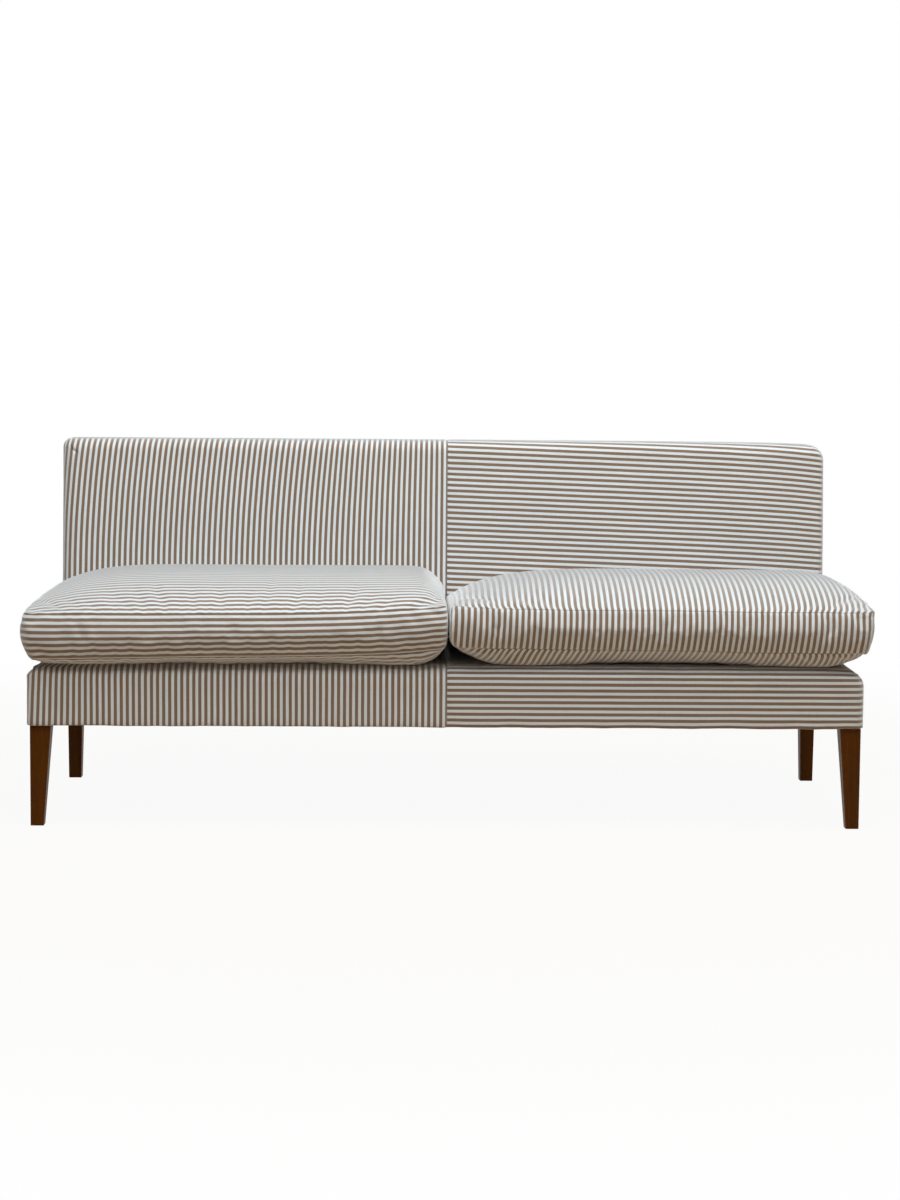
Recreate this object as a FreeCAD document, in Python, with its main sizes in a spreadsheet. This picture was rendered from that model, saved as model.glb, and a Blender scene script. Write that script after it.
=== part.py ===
import FreeCAD, Part
import math
import os
import Sketcher

# An upholstered banquette: a loose-tenoned wooden frame, a webbed and padded seat and back covered in
# two halves each, and two loose box cushions with zips. Millimetres. X runs to the right as one
# faces the banquette, the seat faces -Y, Z is up and the floor is at zero.

DRIVING_SIZES = (
    ("seat_width", 1800, "over the seat cover, end to end"),
    ("overall_depth", 680, "cushion front to outside back"),
    ("overall_height", 815, "floor to the top of the back"),
    ("leg_height", 218, "floor to the underside of the seat cover"),
    ("cushion_overhang", 20, "cushion front beyond the seat front"),
    ("cover_cloth", 1.5, "thickness of the covering cloth with its lining"),
    ("fit", 0.25, "play between layers that lie on each other"),
    ("wadding", 4.5, "padding outside the seat rails"),
    ("seat_corner", 26, "rounding of the seat cover"),
    ("hem", 25, "cloth turned under the seat rails"),
    ("front_leg", 45, "side of the front leg at the seat"),
    ("front_foot", 28, "side of the front leg at the floor"),
    ("rear_leg_width", 36, "width of the rear leg at the seat"),
    ("rear_leg_depth", 45, "depth of the rear leg at the seat"),
    ("rear_foot", 29, "side of the rear leg at the floor"),
    ("eased_edge", 1.5, "rounding of the long edges of the front legs"),
    ("rail_thickness", 28, "thickness of every rail"),
    ("rail_height", 90, "height of the seat rails"),
    ("cross_rail_width", 45, "width of the centre cross rail and the centre back post"),
    ("cross_rail_drop", 22, "centre cross rail below the rail tops"),
    ("cross_rail_height", 60, "height of the centre cross rail"),
    ("block_reach", 85, "corner block along each rail"),
    ("block_height", 60, "height of the corner blocks"),
    ("tenon_thickness", 10, "loose tenons of the frame joints"),
    ("tenon_length", 44, "loose tenons of the frame joints"),
    ("screw_diameter", 4.5, "corner block screws"),
    ("screw_head", 9, "corner block screws"),
    ("screw_length", 44, "corner block screws"),
    ("joint_play", 0.2, "mortise over its tenon, and bore over its screw"),
    ("strap_width", 50, "webbing"),
    ("strap_thickness", 1.8, "webbing"),
    ("strap_play", 0.2, "between straps where they cross"),
    ("hessian", 0.8, "thickness of the hessian"),
    ("hessian_margin", 12, "hessian edge inside the frame"),
    ("seat_foam", 33.5, "padding of the seat"),
    ("back_depth_low", 143, "outside back to the face of the back at its foot"),
    ("back_depth_top", 100, "outside back to the face of the back at its top"),
    ("back_foam", 50, "padding of the back"),
    ("top_foam", 30, "padding over the top of the back"),
    ("back_corner", 22, "rounding of the back cover"),
    ("top_rail_height", 75, "top rail of the back"),
    ("lower_rail_height", 50, "lower rail of the back"),
    ("lower_rail_rise", 40, "lower rail of the back above the seat rails"),
    ("outside_back_drop", 9, "outside back below the top of the back"),
    ("dust_cloth", 0.5, "thickness of the dust cover"),
    ("cushion_side", 10, "cushion end beyond the seat end"),
    ("cushion_gap", 6, "between the two cushions"),
    ("cushion_back_gap", 6, "cushion rear to the face of the back"),
    ("bottom_crown", 36, "fullness of the cushion bottom panel"),
    ("boxing_height", 90, "cushion boxing, seam to seam"),
    ("top_crown", 62, "fullness of the cushion top panel"),
    ("boxing_bulge", 8, "fullness of the boxing beyond its seams"),
    ("cushion_corner", 18, "rounding of the cushion corners"),
    ("side_draw", 3, "seams drawn in between the corners"),
    ("top_reach", 190, "seam to the level middle of the top panel"),
    ("bottom_reach", 75, "seam to the level middle of the bottom panel"),
    ("zip_length", 720, "zip chain"),
    ("zip_travel", 640, "travel of the zip slider"),
)

STRAPS_FRONT_TO_BACK = 14
STRAPS_END_TO_END = 4
STRAPS_UP_THE_BACK = 10
STRAPS_ACROSS_THE_BACK = 2

doc = FreeCAD.newDocument("banquette")
sheet = doc.addObject("Spreadsheet::Sheet", "sizes")
for row, (alias, value, meaning) in enumerate(DRIVING_SIZES, 1):
    sheet.set(f"A{row}", meaning)
    sheet.set(f"B{row}", str(value))
    sheet.setAlias(f"B{row}", alias)
doc.recompute()


def size(expression):
    """The number that an expression of the driving sizes comes to."""
    return float(sheet.evalExpression(str(expression)))


# Places that several pieces share
SEAT_SIDE = "(sizes.seat_width / 2)"
SEAT_FRONT = "(sizes.cushion_overhang - sizes.overall_depth / 2)"
SEAT_LAYERS = "(sizes.cover_cloth + sizes.wadding + 2 * sizes.fit)"
FRAME_SIDE = f"({SEAT_SIDE} - {SEAT_LAYERS})"
FRAME_FRONT = f"({SEAT_FRONT} + {SEAT_LAYERS})"
FRAME_REAR = "(sizes.overall_depth / 2 - sizes.cover_cloth - sizes.fit)"
RAIL_BOTTOM = "(sizes.leg_height + sizes.cover_cloth + sizes.fit)"
RAIL_TOP = f"({RAIL_BOTTOM} + sizes.rail_height)"
COVER_AND_FIT = "(sizes.cover_cloth + sizes.fit)"
STRAP_STEP = "(sizes.strap_thickness + sizes.strap_play)"
HESSIAN_LIFT = f"(2 * sizes.fit + {STRAP_STEP} + sizes.strap_thickness)"
WEB_LAYERS = f"({HESSIAN_LIFT} + sizes.hessian + sizes.fit)"
BACK_BOTTOM = f"({RAIL_TOP} + {WEB_LAYERS})"
DECK = f"({BACK_BOTTOM} + sizes.seat_foam + {COVER_AND_FIT})"
BACK_SIDE = f"({FRAME_SIDE} + {COVER_AND_FIT})"
POST_TOP = f"(sizes.overall_height - {COVER_AND_FIT} - sizes.top_foam - sizes.fit)"
BACK_RAKE = f"((sizes.back_depth_low - sizes.back_depth_top) / (sizes.overall_height - {BACK_BOTTOM}))"
BACK_LAYERS = f"({COVER_AND_FIT} + sizes.back_foam + {WEB_LAYERS} * 1.01)"


def back_face(height, behind="0"):
    """Y of the raked face of the back at a height, or of a plane that far behind it."""
    face_at_foot = "(sizes.overall_depth / 2 - sizes.back_depth_low)"
    return f"({face_at_foot} + ({height} - {BACK_BOTTOM}) * {BACK_RAKE} + {behind})"


CUSHION_WIDTH = f"({SEAT_SIDE} + sizes.cushion_side - sizes.cushion_gap / 2)"
CUSHION_MIDDLE = f"(sizes.cushion_gap / 2 + {CUSHION_WIDTH} / 2)"
CUSHION_FRONT = "(-sizes.overall_depth / 2)"
CUSHION_REAR = f"({back_face(DECK)} - sizes.cushion_back_gap)"
CUSHION_BOTTOM = f"({DECK} + sizes.fit)"
LOWER_SEAM = f"({CUSHION_BOTTOM} + sizes.bottom_crown)"
UPPER_SEAM = f"({LOWER_SEAM} + sizes.boxing_height)"
ZIP_HEIGHT = f"({LOWER_SEAM} + sizes.boxing_height / 2)"


def new_body(name, at=("0", "0", "0")):
    """A body whose own origin stands at the given place."""
    body = doc.addObject("PartDesign::Body", name)
    place(body, at)
    return body


def place(piece, at):
    for axis, expression in zip("xyz", at):
        piece.setExpression(f"Placement.Base.{axis}", expression)


def outline(body, name, plane, corners, lift=None):
    """A closed sketch of straight sides, each corner held by the driving sizes."""
    sketch = body.newObject("Sketcher::SketchObject", name)
    support = next(item for item in body.Origin.OriginFeatures if item.Role == plane)
    sketch.AttachmentSupport = [(support, "")]
    sketch.MapMode = "FlatFace"
    if lift:
        sketch.setExpression("AttachmentOffset.Base.z", lift)
    points = [FreeCAD.Vector(size(u), size(v), 0) for u, v in corners]
    count = len(points)
    for index in range(count):
        sketch.addGeometry(Part.LineSegment(points[index], points[(index + 1) % count]), False)
    for index in range(count):
        sketch.addConstraint(Sketcher.Constraint("Coincident", index, 2, (index + 1) % count, 1))
    for index, (u, v) in enumerate(corners):
        for kind, expression in (("DistanceX", u), ("DistanceY", v)):
            held = Sketcher.Constraint(kind, -1, 1, index, 1, size(expression))
            number = sketch.addConstraint(held)
            sketch.setExpression(f"Constraints[{number}]", expression)
    return sketch


def pad(body, name, sketch, length):
    feature = body.newObject("PartDesign::Pad", name)
    feature.Profile = sketch
    feature.setExpression("Length", length)
    doc.recompute()
    return feature


def pocket(body, name, sketch, length):
    """Cut a sketch out along its normal."""
    feature = body.newObject("PartDesign::Pocket", name)
    feature.Profile = sketch
    feature.Reversed = True
    feature.setExpression("Length", length)
    doc.recompute()
    return feature


def additive_box(body, name, length, width, height):
    feature = body.newObject("PartDesign::AdditiveBox", name)
    feature.setExpression("Length", length)
    feature.setExpression("Width", width)
    feature.setExpression("Height", height)
    doc.recompute()
    return feature


def fillet(body, name, base, radius, wanted):
    """Round the edges of the base feature that the test picks."""
    feature = body.newObject("PartDesign::Fillet", name)
    picked = [f"Edge{number}" for number, edge in enumerate(base.Shape.Edges, 1) if wanted(edge)]
    feature.Base = (base, picked)
    feature.setExpression("Radius", radius)
    doc.recompute()
    return feature


def hollow(body, name, base, wanted):
    """Leave a cloth-thick wall, open at the faces that the test picks."""
    feature = body.newObject("PartDesign::Thickness", name)
    picked = [f"Face{number}" for number, face in enumerate(base.Shape.Faces, 1) if wanted(face)]
    feature.Base = (base, picked)
    feature.Reversed = True
    feature.setExpression("Value", "sizes.cover_cloth")
    doc.recompute()
    return feature


def at(value, wanted):
    return abs(value - wanted) < 0.01


def lies_at(shape, axis, value):
    """Whether a whole edge or face lies in the plane at that value of the axis."""
    box = shape.BoundBox
    low = getattr(box, f"{axis}Min")
    high = getattr(box, f"{axis}Max")
    return at(low, value) and at(high, value)


def plain_box(name, corner, extent):
    piece = doc.addObject("Part::Box", name)
    for side, expression in zip(("Length", "Width", "Height"), extent):
        piece.setExpression(side, expression)
    place(piece, corner)
    return piece


def cut(name, base, tool):
    piece = doc.addObject("Part::Cut", name)
    piece.Base = base
    piece.Tool = tool
    return piece


def mirrored(name, source):
    """The right-hand twin of a left-hand piece."""
    piece = doc.addObject("Part::Mirroring", name)
    piece.Source = source
    piece.Normal = FreeCAD.Vector(1, 0, 0)
    return piece


def shaped(name, shape, where=FreeCAD.Placement()):
    piece = doc.addObject("Part::Feature", name)
    piece.Shape = shape
    piece.Placement = where
    return piece


# Loose tenons and screws, and the mortises and bores they stand in
CENTRE_HALF = "(sizes.cross_rail_width / 2)"
LOWER_RAIL_BOTTOM = f"({RAIL_TOP} + sizes.lower_rail_rise)"
LOWER_RAIL_TOP = f"({LOWER_RAIL_BOTTOM} + sizes.lower_rail_height)"
TOP_RAIL_BOTTOM = f"({POST_TOP} - sizes.top_rail_height)"
RAIL_LOW = size(RAIL_BOTTOM)
RAIL_SPAN = size("sizes.rail_height")
ALONG_X = "x"
ALONG_Y = "y"
UPRIGHT = "z"


def seat_tenon_places():
    """Middle, direction and member height of every tenon of the seat frame."""
    places = []
    front_rail_middle = size(f"{FRAME_FRONT} + sizes.rail_thickness / 2")
    rear_rail_middle = size(f"{FRAME_REAR} - sizes.rail_thickness / 2")
    side_rail_middle = size(f"{FRAME_SIDE} - sizes.rail_thickness / 2")
    front_post_inside = size(f"{FRAME_SIDE} - sizes.front_leg")
    rear_post_inside = size(f"{FRAME_SIDE} - sizes.rear_leg_width")
    front_post_rear = size(f"{FRAME_FRONT} + sizes.front_leg")
    rear_post_front = size(f"{FRAME_REAR} - sizes.rear_leg_depth")
    middle = RAIL_LOW + RAIL_SPAN / 2
    for side in (-1, 1):
        places.append(((side * front_post_inside, front_rail_middle, middle), ALONG_X, RAIL_SPAN))
        places.append(((side * rear_post_inside, rear_rail_middle, middle), ALONG_X, RAIL_SPAN))
        places.append(((side * side_rail_middle, front_post_rear, middle), ALONG_Y, RAIL_SPAN))
        places.append(((side * side_rail_middle, rear_post_front, middle), ALONG_Y, RAIL_SPAN))
    cross_height = size("sizes.cross_rail_height")
    cross_middle = size(f"{RAIL_TOP} - sizes.cross_rail_drop") - cross_height / 2
    for joint in (f"{FRAME_FRONT} + sizes.rail_thickness", f"{FRAME_REAR} - sizes.rail_thickness"):
        places.append(((0, size(joint), cross_middle), ALONG_Y, cross_height))
    return places


def back_tenon_places():
    """Middle, direction and member height of every tenon of the back frame."""
    places = []
    rear_post_inside = size(f"{FRAME_SIDE} - sizes.rear_leg_width")
    for low, high in ((LOWER_RAIL_BOTTOM, LOWER_RAIL_TOP), (TOP_RAIL_BOTTOM, POST_TOP)):
        height = f"(({low} + {high}) / 2)"
        rail_middle = size(back_face(height, f"({BACK_LAYERS} + sizes.rail_thickness / 2)"))
        for side in (-1, 1):
            middle = (side * rear_post_inside, rail_middle, size(height))
            places.append((middle, ALONG_X, size(f"{high} - {low}")))
    foot = (0, size(f"{FRAME_REAR} - sizes.rail_thickness / 2"), size(RAIL_TOP))
    places.append((foot, UPRIGHT, size("sizes.cross_rail_width")))
    return places


def loose_tenons(places, play=0.0):
    """Flat tenons half as wide as the member they hold, each centred on its joint."""
    thickness = size("sizes.tenon_thickness") + play
    length = size("sizes.tenon_length") + 10 * play
    tenons = []
    for middle, direction, member in places:
        width = member / 2 + play
        extents = {
            ALONG_X: (length, thickness, width),
            ALONG_Y: (thickness, length, width),
            UPRIGHT: (width, thickness, length),
        }
        extent = FreeCAD.Vector(*extents[direction])
        tenons.append(Part.makeBox(*extent, FreeCAD.Vector(*middle) - extent / 2))
    return tenons


BLOCK_LOW = RAIL_LOW + (RAIL_SPAN - size("sizes.block_height")) / 2
SCREW_ALONG = size("sizes.block_reach * 0.68")
SCREW_SEAT = size("sizes.block_reach * 0.25")


def screw_places():
    """Head seat and direction of every corner block screw, two to a block."""
    places = []
    inner_side = size(f"{FRAME_SIDE} - sizes.rail_thickness")
    inner_front = size(f"{FRAME_FRONT} + sizes.rail_thickness")
    inner_rear = size(f"{FRAME_REAR} - sizes.rail_thickness")
    high = BLOCK_LOW + size("sizes.block_height * 0.7")
    low = BLOCK_LOW + size("sizes.block_height * 0.3")
    for side in (-1, 1):
        for corner, inward in ((inner_front, 1), (inner_rear, -1)):
            into_end_rail = (side * (inner_side - SCREW_ALONG), corner + inward * SCREW_SEAT, high)
            places.append((into_end_rail, (0, -inward, 0)))
            into_side_rail = (side * (inner_side - SCREW_SEAT), corner + inward * SCREW_ALONG, low)
            places.append((into_side_rail, (side, 0, 0)))
    return places


def screw(seat, direction, head_length, play=0.0):
    """A screw that points along the direction, its head standing behind the seat."""
    along = FreeCAD.Vector(*direction)
    start = FreeCAD.Vector(*seat)
    shank_radius = (size("sizes.screw_diameter") + play) / 2
    head_radius = (size("sizes.screw_head") + 5 * play) / 2
    shank = Part.makeCylinder(shank_radius, size("sizes.screw_length") + play, start, along)
    head = Part.makeCylinder(head_radius, head_length, start, along * -1)
    return shank.fuse(head).removeSplitter()


JOINT_PLAY = size("sizes.joint_play")
shaped("seat_tenons", Part.makeCompound(loose_tenons(seat_tenon_places())))
shaped("back_tenons", Part.makeCompound(loose_tenons(back_tenon_places())))
screw_head_length = size("sizes.screw_head / 3")
screws = [screw(*where, screw_head_length) for where in screw_places()]
shaped("corner_block_screws", Part.makeCompound(screws))

bores = loose_tenons(seat_tenon_places() + back_tenon_places(), JOINT_PLAY)
bores += [screw(*where, size("sizes.block_reach"), JOINT_PLAY) for where in screw_places()]
frame_bores = shaped("frame_bores", Part.makeCompound(bores))


# Legs
def eased_square(side):
    """A square on the origin whose corners are taken off by the eased edge."""
    edge = "sizes.eased_edge"
    return [
        (edge, "0"),
        (f"{side} - {edge}", "0"),
        (side, edge),
        (side, f"{side} - {edge}"),
        (f"{side} - {edge}", side),
        (edge, side),
        ("0", f"{side} - {edge}"),
        ("0", edge),
    ]


def front_leg():
    """A tapered leg that runs on as the corner post, whose outer corner is planed off."""
    body = new_body("front_left_leg_blank", (f"-{FRAME_SIDE}", FRAME_FRONT, "0"))
    foot = outline(body, "front_foot_outline", "XY_Plane", eased_square("sizes.front_foot"))
    shoulder = eased_square("sizes.front_leg")
    top = outline(body, "front_shoulder_outline", "XY_Plane", shoulder, "sizes.leg_height")
    taper = body.newObject("PartDesign::AdditiveLoft", "front_leg_taper")
    taper.Profile = foot
    taper.Sections = [top]
    taper.Ruled = True
    doc.recompute()
    planed_off = f"(sizes.seat_corner - {SEAT_LAYERS})"
    post_corners = [
        (planed_off, "0"),
        ("sizes.front_leg", "0"),
        ("sizes.front_leg", "sizes.front_leg"),
        ("0", "sizes.front_leg"),
        ("0", planed_off),
    ]
    post_outline = outline(body, "front_post_outline", "XY_Plane", post_corners, "sizes.leg_height")
    pad(body, "front_post", post_outline, f"{RAIL_TOP} - sizes.leg_height")
    return body


def rear_post():
    """Leg and back upright in one piece: the upright leans forward of the leg at the seat."""
    body = new_body("rear_left_post_blank", (f"-{FRAME_SIDE}", FRAME_REAR, "0"))
    foot_corners = [
        ("0", "0"),
        ("0", "-sizes.rear_foot"),
        ("sizes.rear_foot", "-sizes.rear_foot"),
        ("sizes.rear_foot", "0"),
    ]
    top_corners = [
        ("0", "0"),
        ("0", "-sizes.rear_leg_depth"),
        ("sizes.rear_leg_width", "-sizes.rear_leg_depth"),
        ("sizes.rear_leg_width", "0"),
    ]
    foot = outline(body, "rear_foot_outline", "XY_Plane", foot_corners)
    top = outline(body, "rear_shoulder_outline", "XY_Plane", top_corners, "sizes.leg_height")
    taper = body.newObject("PartDesign::AdditiveLoft", "rear_leg_taper")
    taper.Profile = foot
    taper.Sections = [top]
    taper.Ruled = True
    doc.recompute()
    upright = [
        ("0", "sizes.leg_height"),
        ("-sizes.rear_leg_depth", "sizes.leg_height"),
        ("-sizes.rear_leg_depth", RAIL_TOP),
        (f"{back_face(RAIL_TOP, BACK_LAYERS)} - {FRAME_REAR}", RAIL_TOP),
        (f"{back_face(POST_TOP, BACK_LAYERS)} - {FRAME_REAR}", POST_TOP),
        ("0", POST_TOP),
    ]
    profile = outline(body, "rear_upright_outline", "YZ_Plane", upright)
    pad(body, "rear_upright", profile, "sizes.rear_leg_width")
    return body


mirrored("front_right_leg", cut("front_left_leg", front_leg(), frame_bores))
mirrored("rear_right_post", cut("rear_left_post", rear_post(), frame_bores))


# Seat rails
FRONT_RAIL_SIDE = f"({FRAME_SIDE} - sizes.front_leg)"
REAR_RAIL_SIDE = f"({FRAME_SIDE} - sizes.rear_leg_width)"
front_rail = plain_box(
    "front_seat_rail_blank",
    (f"-{FRONT_RAIL_SIDE}", FRAME_FRONT, RAIL_BOTTOM),
    (f"2 * {FRONT_RAIL_SIDE}", "sizes.rail_thickness", "sizes.rail_height"),
)
cut("front_seat_rail", front_rail, frame_bores)
rear_rail = plain_box(
    "rear_seat_rail_blank",
    (f"-{REAR_RAIL_SIDE}", f"{FRAME_REAR} - sizes.rail_thickness", RAIL_BOTTOM),
    (f"2 * {REAR_RAIL_SIDE}", "sizes.rail_thickness", "sizes.rail_height"),
)
cut("rear_seat_rail", rear_rail, frame_bores)
side_rail = plain_box(
    "left_seat_rail_blank",
    (f"-{FRAME_SIDE}", f"{FRAME_FRONT} + sizes.front_leg", RAIL_BOTTOM),
    (
        "sizes.rail_thickness",
        f"{FRAME_REAR} - sizes.rear_leg_depth - {FRAME_FRONT} - sizes.front_leg",
        "sizes.rail_height",
    ),
)
mirrored("right_seat_rail", cut("left_seat_rail", side_rail, frame_bores))
cross_rail = plain_box(
    "centre_cross_rail_blank",
    (
        f"-{CENTRE_HALF}",
        f"{FRAME_FRONT} + sizes.rail_thickness",
        f"{RAIL_TOP} - sizes.cross_rail_drop - sizes.cross_rail_height",
    ),
    (
        "sizes.cross_rail_width",
        f"{FRAME_REAR} - {FRAME_FRONT} - 2 * sizes.rail_thickness",
        "sizes.cross_rail_height",
    ),
)
cut("centre_cross_rail", cross_rail, frame_bores)


# Corner blocks, notched round the posts
def corner_blocks(name, corner_y, inward, post_x, post_y):
    """The two blocks of the front or the rear, bored for their screws."""
    low = f"{RAIL_BOTTOM} + (sizes.rail_height - sizes.block_height) / 2"
    body = new_body(f"{name}_blank", (f"-({FRAME_SIDE} - sizes.rail_thickness)", corner_y, low))
    corners = [
        (post_x, "0"),
        ("sizes.block_reach", "0"),
        ("0", f"{inward} * sizes.block_reach"),
        ("0", f"{inward} * {post_y}"),
        (post_x, f"{inward} * {post_y}"),
    ]
    plan = outline(body, f"{name}_outline", "XY_Plane", corners)
    pad(body, f"{name}_pad", plan, "sizes.block_height")
    pair = doc.addObject("Part::Compound", f"{name}_pair")
    pair.Links = [body, mirrored(f"{name}_twin", body)]
    cut(name, pair, frame_bores)


corner_blocks(
    "front_corner_blocks",
    f"{FRAME_FRONT} + sizes.rail_thickness",
    1,
    "(sizes.front_leg - sizes.rail_thickness)",
    "(sizes.front_leg - sizes.rail_thickness)",
)
corner_blocks(
    "rear_corner_blocks",
    f"{FRAME_REAR} - sizes.rail_thickness",
    -1,
    "(sizes.rear_leg_width - sizes.rail_thickness)",
    "(sizes.rear_leg_depth - sizes.rail_thickness)",
)


# Back frame
def raked_band(low, high, front, rear):
    """Corners, in Y and Z, of a slice parallel to the raked face of the back."""
    return [
        (back_face(low, front), low),
        (back_face(high, front), high),
        (back_face(high, rear), high),
        (back_face(low, rear), low),
    ]


def raked_rail(name, low, high):
    body = new_body(f"{name}_blank", (f"-{REAR_RAIL_SIDE}", "0", "0"))
    corners = raked_band(low, high, BACK_LAYERS, f"({BACK_LAYERS} + sizes.rail_thickness)")
    section = outline(body, f"{name}_outline", "YZ_Plane", corners)
    pad(body, f"{name}_pad", section, f"2 * {REAR_RAIL_SIDE}")
    cut(name, body, frame_bores)


raked_rail("back_lower_rail", LOWER_RAIL_BOTTOM, LOWER_RAIL_TOP)
raked_rail("back_top_rail", TOP_RAIL_BOTTOM, POST_TOP)

centre_post = new_body("centre_back_post_blank", (f"-{CENTRE_HALF}", "0", "0"))
BEHIND_RAILS = f"({BACK_LAYERS} + sizes.rail_thickness)"
centre_post_corners = [
    (back_face(RAIL_TOP, BEHIND_RAILS), RAIL_TOP),
    (back_face(POST_TOP, BEHIND_RAILS), POST_TOP),
    (FRAME_REAR, POST_TOP),
    (FRAME_REAR, RAIL_TOP),
]
centre_post_outline = outline(centre_post, "centre_back_post_outline", "YZ_Plane", centre_post_corners)
pad(centre_post, "centre_back_post_pad", centre_post_outline, "sizes.cross_rail_width")
cut("centre_back_post", centre_post, frame_bores)


# Webbing: flat straps one way, straps woven over and under them the other way
STRAP = size("sizes.strap_width")
STRAP_THICK = size("sizes.strap_thickness")
OVER = size(STRAP_STEP)
LIFT = size("sizes.fit")


def evenly(count, span):
    """That many places over a span, centred on zero, half a step in from its ends."""
    whole = round(count)
    step = span / whole
    return [step * (index + 0.5) - span / 2 for index in range(whole)]


def flat_straps(places, low, high):
    straps = []
    for across in places:
        corner = FreeCAD.Vector(across - STRAP / 2, low, LIFT)
        straps.append(Part.makeBox(STRAP, high - low, STRAP_THICK, corner))
    return Part.makeCompound(straps)


def woven_strap(half_length, crossings, along, over_first):
    """One strap along X that rises over one crossing strap and dips under the next."""
    level = [(-half_length, 0.0)]
    sign = 1 if over_first else -1
    flat = STRAP / 2 + 3
    level.append((crossings[0] - flat - 18, 0.0))
    for crossing in crossings:
        level.append((crossing - flat, sign * OVER))
        level.append((crossing + flat, sign * OVER))
        sign = -sign
    level.append((crossings[-1] + flat + 18, 0.0))
    level.append((half_length, 0.0))
    under = [FreeCAD.Vector(x, along - STRAP / 2, LIFT + z) for x, z in level]
    upper = [point + FreeCAD.Vector(0, 0, STRAP_THICK) for point in reversed(under)]
    section = Part.Face(Part.makePolygon(under + upper + [under[0]]))
    return section.extrude(FreeCAD.Vector(0, STRAP, 0))


def woven_straps(half_length, crossings, places):
    straps = []
    for number, along in enumerate(places):
        straps.append(woven_strap(half_length, crossings, along, number % 2 == 0))
    return Part.makeCompound(straps)


STRAP_MARGIN = 4.0
rail_top = size(RAIL_TOP)
seat_crossings = evenly(STRAPS_FRONT_TO_BACK, size(f"2 * {FRONT_RAIL_SIDE} + sizes.strap_width"))
seat_low = size(FRAME_FRONT) + STRAP_MARGIN
seat_high = size(FRAME_REAR) - STRAP_MARGIN
on_the_seat = FreeCAD.Placement(FreeCAD.Vector(0, 0, rail_top), FreeCAD.Rotation())
shaped("seat_webbing_crosswise", flat_straps(seat_crossings, seat_low, seat_high), on_the_seat)
open_seat_rear = size(back_face(RAIL_TOP))
open_seat_front = size(f"{FRAME_FRONT} + sizes.front_leg")
middle_of_seat = (open_seat_rear + open_seat_front) / 2
strap_rows = [middle_of_seat + row for row in evenly(STRAPS_END_TO_END, open_seat_rear - open_seat_front)]
strap_half_length = size(FRAME_SIDE) - STRAP_MARGIN
shaped("seat_webbing_lengthwise", woven_straps(strap_half_length, seat_crossings, strap_rows), on_the_seat)

rake = math.degrees(math.atan(size(BACK_RAKE)))
back_foot = FreeCAD.Vector(0, size(back_face(RAIL_TOP, BACK_LAYERS)), rail_top)
on_the_back = FreeCAD.Placement(back_foot, FreeCAD.Rotation(FreeCAD.Vector(1, 0, 0), 90 - rake))
back_crossings = evenly(STRAPS_UP_THE_BACK, size(f"2 * {REAR_RAIL_SIDE}"))
slant = math.cos(math.radians(rake))
back_low = (size(LOWER_RAIL_BOTTOM) - rail_top) / slant + STRAP_MARGIN
back_high = (size(POST_TOP) - rail_top) / slant - STRAP_MARGIN
shaped("back_webbing_upright", flat_straps(back_crossings, back_low, back_high), on_the_back)
open_back_low = (size(LOWER_RAIL_TOP) - rail_top) / slant
open_back_high = (size(TOP_RAIL_BOTTOM) - rail_top) / slant
middle_of_back = (open_back_low + open_back_high) / 2
across_span = open_back_high - open_back_low
across_rows = [middle_of_back + row for row in evenly(STRAPS_ACROSS_THE_BACK, across_span)]
shaped("back_webbing_across", woven_straps(strap_half_length, back_crossings, across_rows), on_the_back)


# Hessian over the webbing
plain_box(
    "seat_hessian",
    (
        f"sizes.hessian_margin - {FRAME_SIDE}",
        f"{FRAME_FRONT} + sizes.hessian_margin",
        f"{RAIL_TOP} + {HESSIAN_LIFT}",
    ),
    (
        f"2 * ({FRAME_SIDE} - sizes.hessian_margin)",
        f"{back_face(RAIL_TOP, BACK_LAYERS)} - {FRAME_FRONT} - 1.2 * sizes.hessian_margin",
        "sizes.hessian",
    ),
)
back_hessian = new_body("back_hessian", (f"sizes.hessian_margin - {FRAME_SIDE}", "0", "0"))
hessian_front = f"({BACK_LAYERS} - {HESSIAN_LIFT} * 1.01 - sizes.hessian)"
hessian_rear = f"({BACK_LAYERS} - {HESSIAN_LIFT} * 1.01)"
hessian_corners = raked_band(LOWER_RAIL_BOTTOM, POST_TOP, hessian_front, hessian_rear)
hessian_outline = outline(back_hessian, "back_hessian_outline", "YZ_Plane", hessian_corners)
pad(back_hessian, "back_hessian_pad", hessian_outline, f"2 * ({FRAME_SIDE} - sizes.hessian_margin)")


# Padding
seat_foam = new_body(
    "seat_foam",
    (f"{COVER_AND_FIT} - {SEAT_SIDE}", f"{SEAT_FRONT} + {COVER_AND_FIT}", BACK_BOTTOM),
)
foam_width = f"2 * ({SEAT_SIDE} - {COVER_AND_FIT})"
seat_foam_block = additive_box(
    seat_foam,
    "seat_foam_block",
    foam_width,
    f"{back_face(BACK_BOTTOM)} - 2 * sizes.fit - {SEAT_FRONT} - {COVER_AND_FIT}",
    "sizes.seat_foam",
)


def seat_foam_edge(edge):
    """The top edges in front and at the ends, and the two front corners."""
    box = edge.BoundBox
    whole = seat_foam_block.Shape.BoundBox
    at_end = lies_at(edge, "X", whole.XMin) or lies_at(edge, "X", whole.XMax)
    on_top = lies_at(edge, "Z", whole.ZMax)
    in_front = lies_at(edge, "Y", whole.YMin)
    return (on_top and (at_end or in_front)) or (at_end and in_front and box.ZLength > 1)


SEAT_FOAM_CORNER = f"(sizes.seat_corner - {COVER_AND_FIT})"
fillet(seat_foam, "seat_foam_rounded", seat_foam_block, SEAT_FOAM_CORNER, seat_foam_edge)

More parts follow.
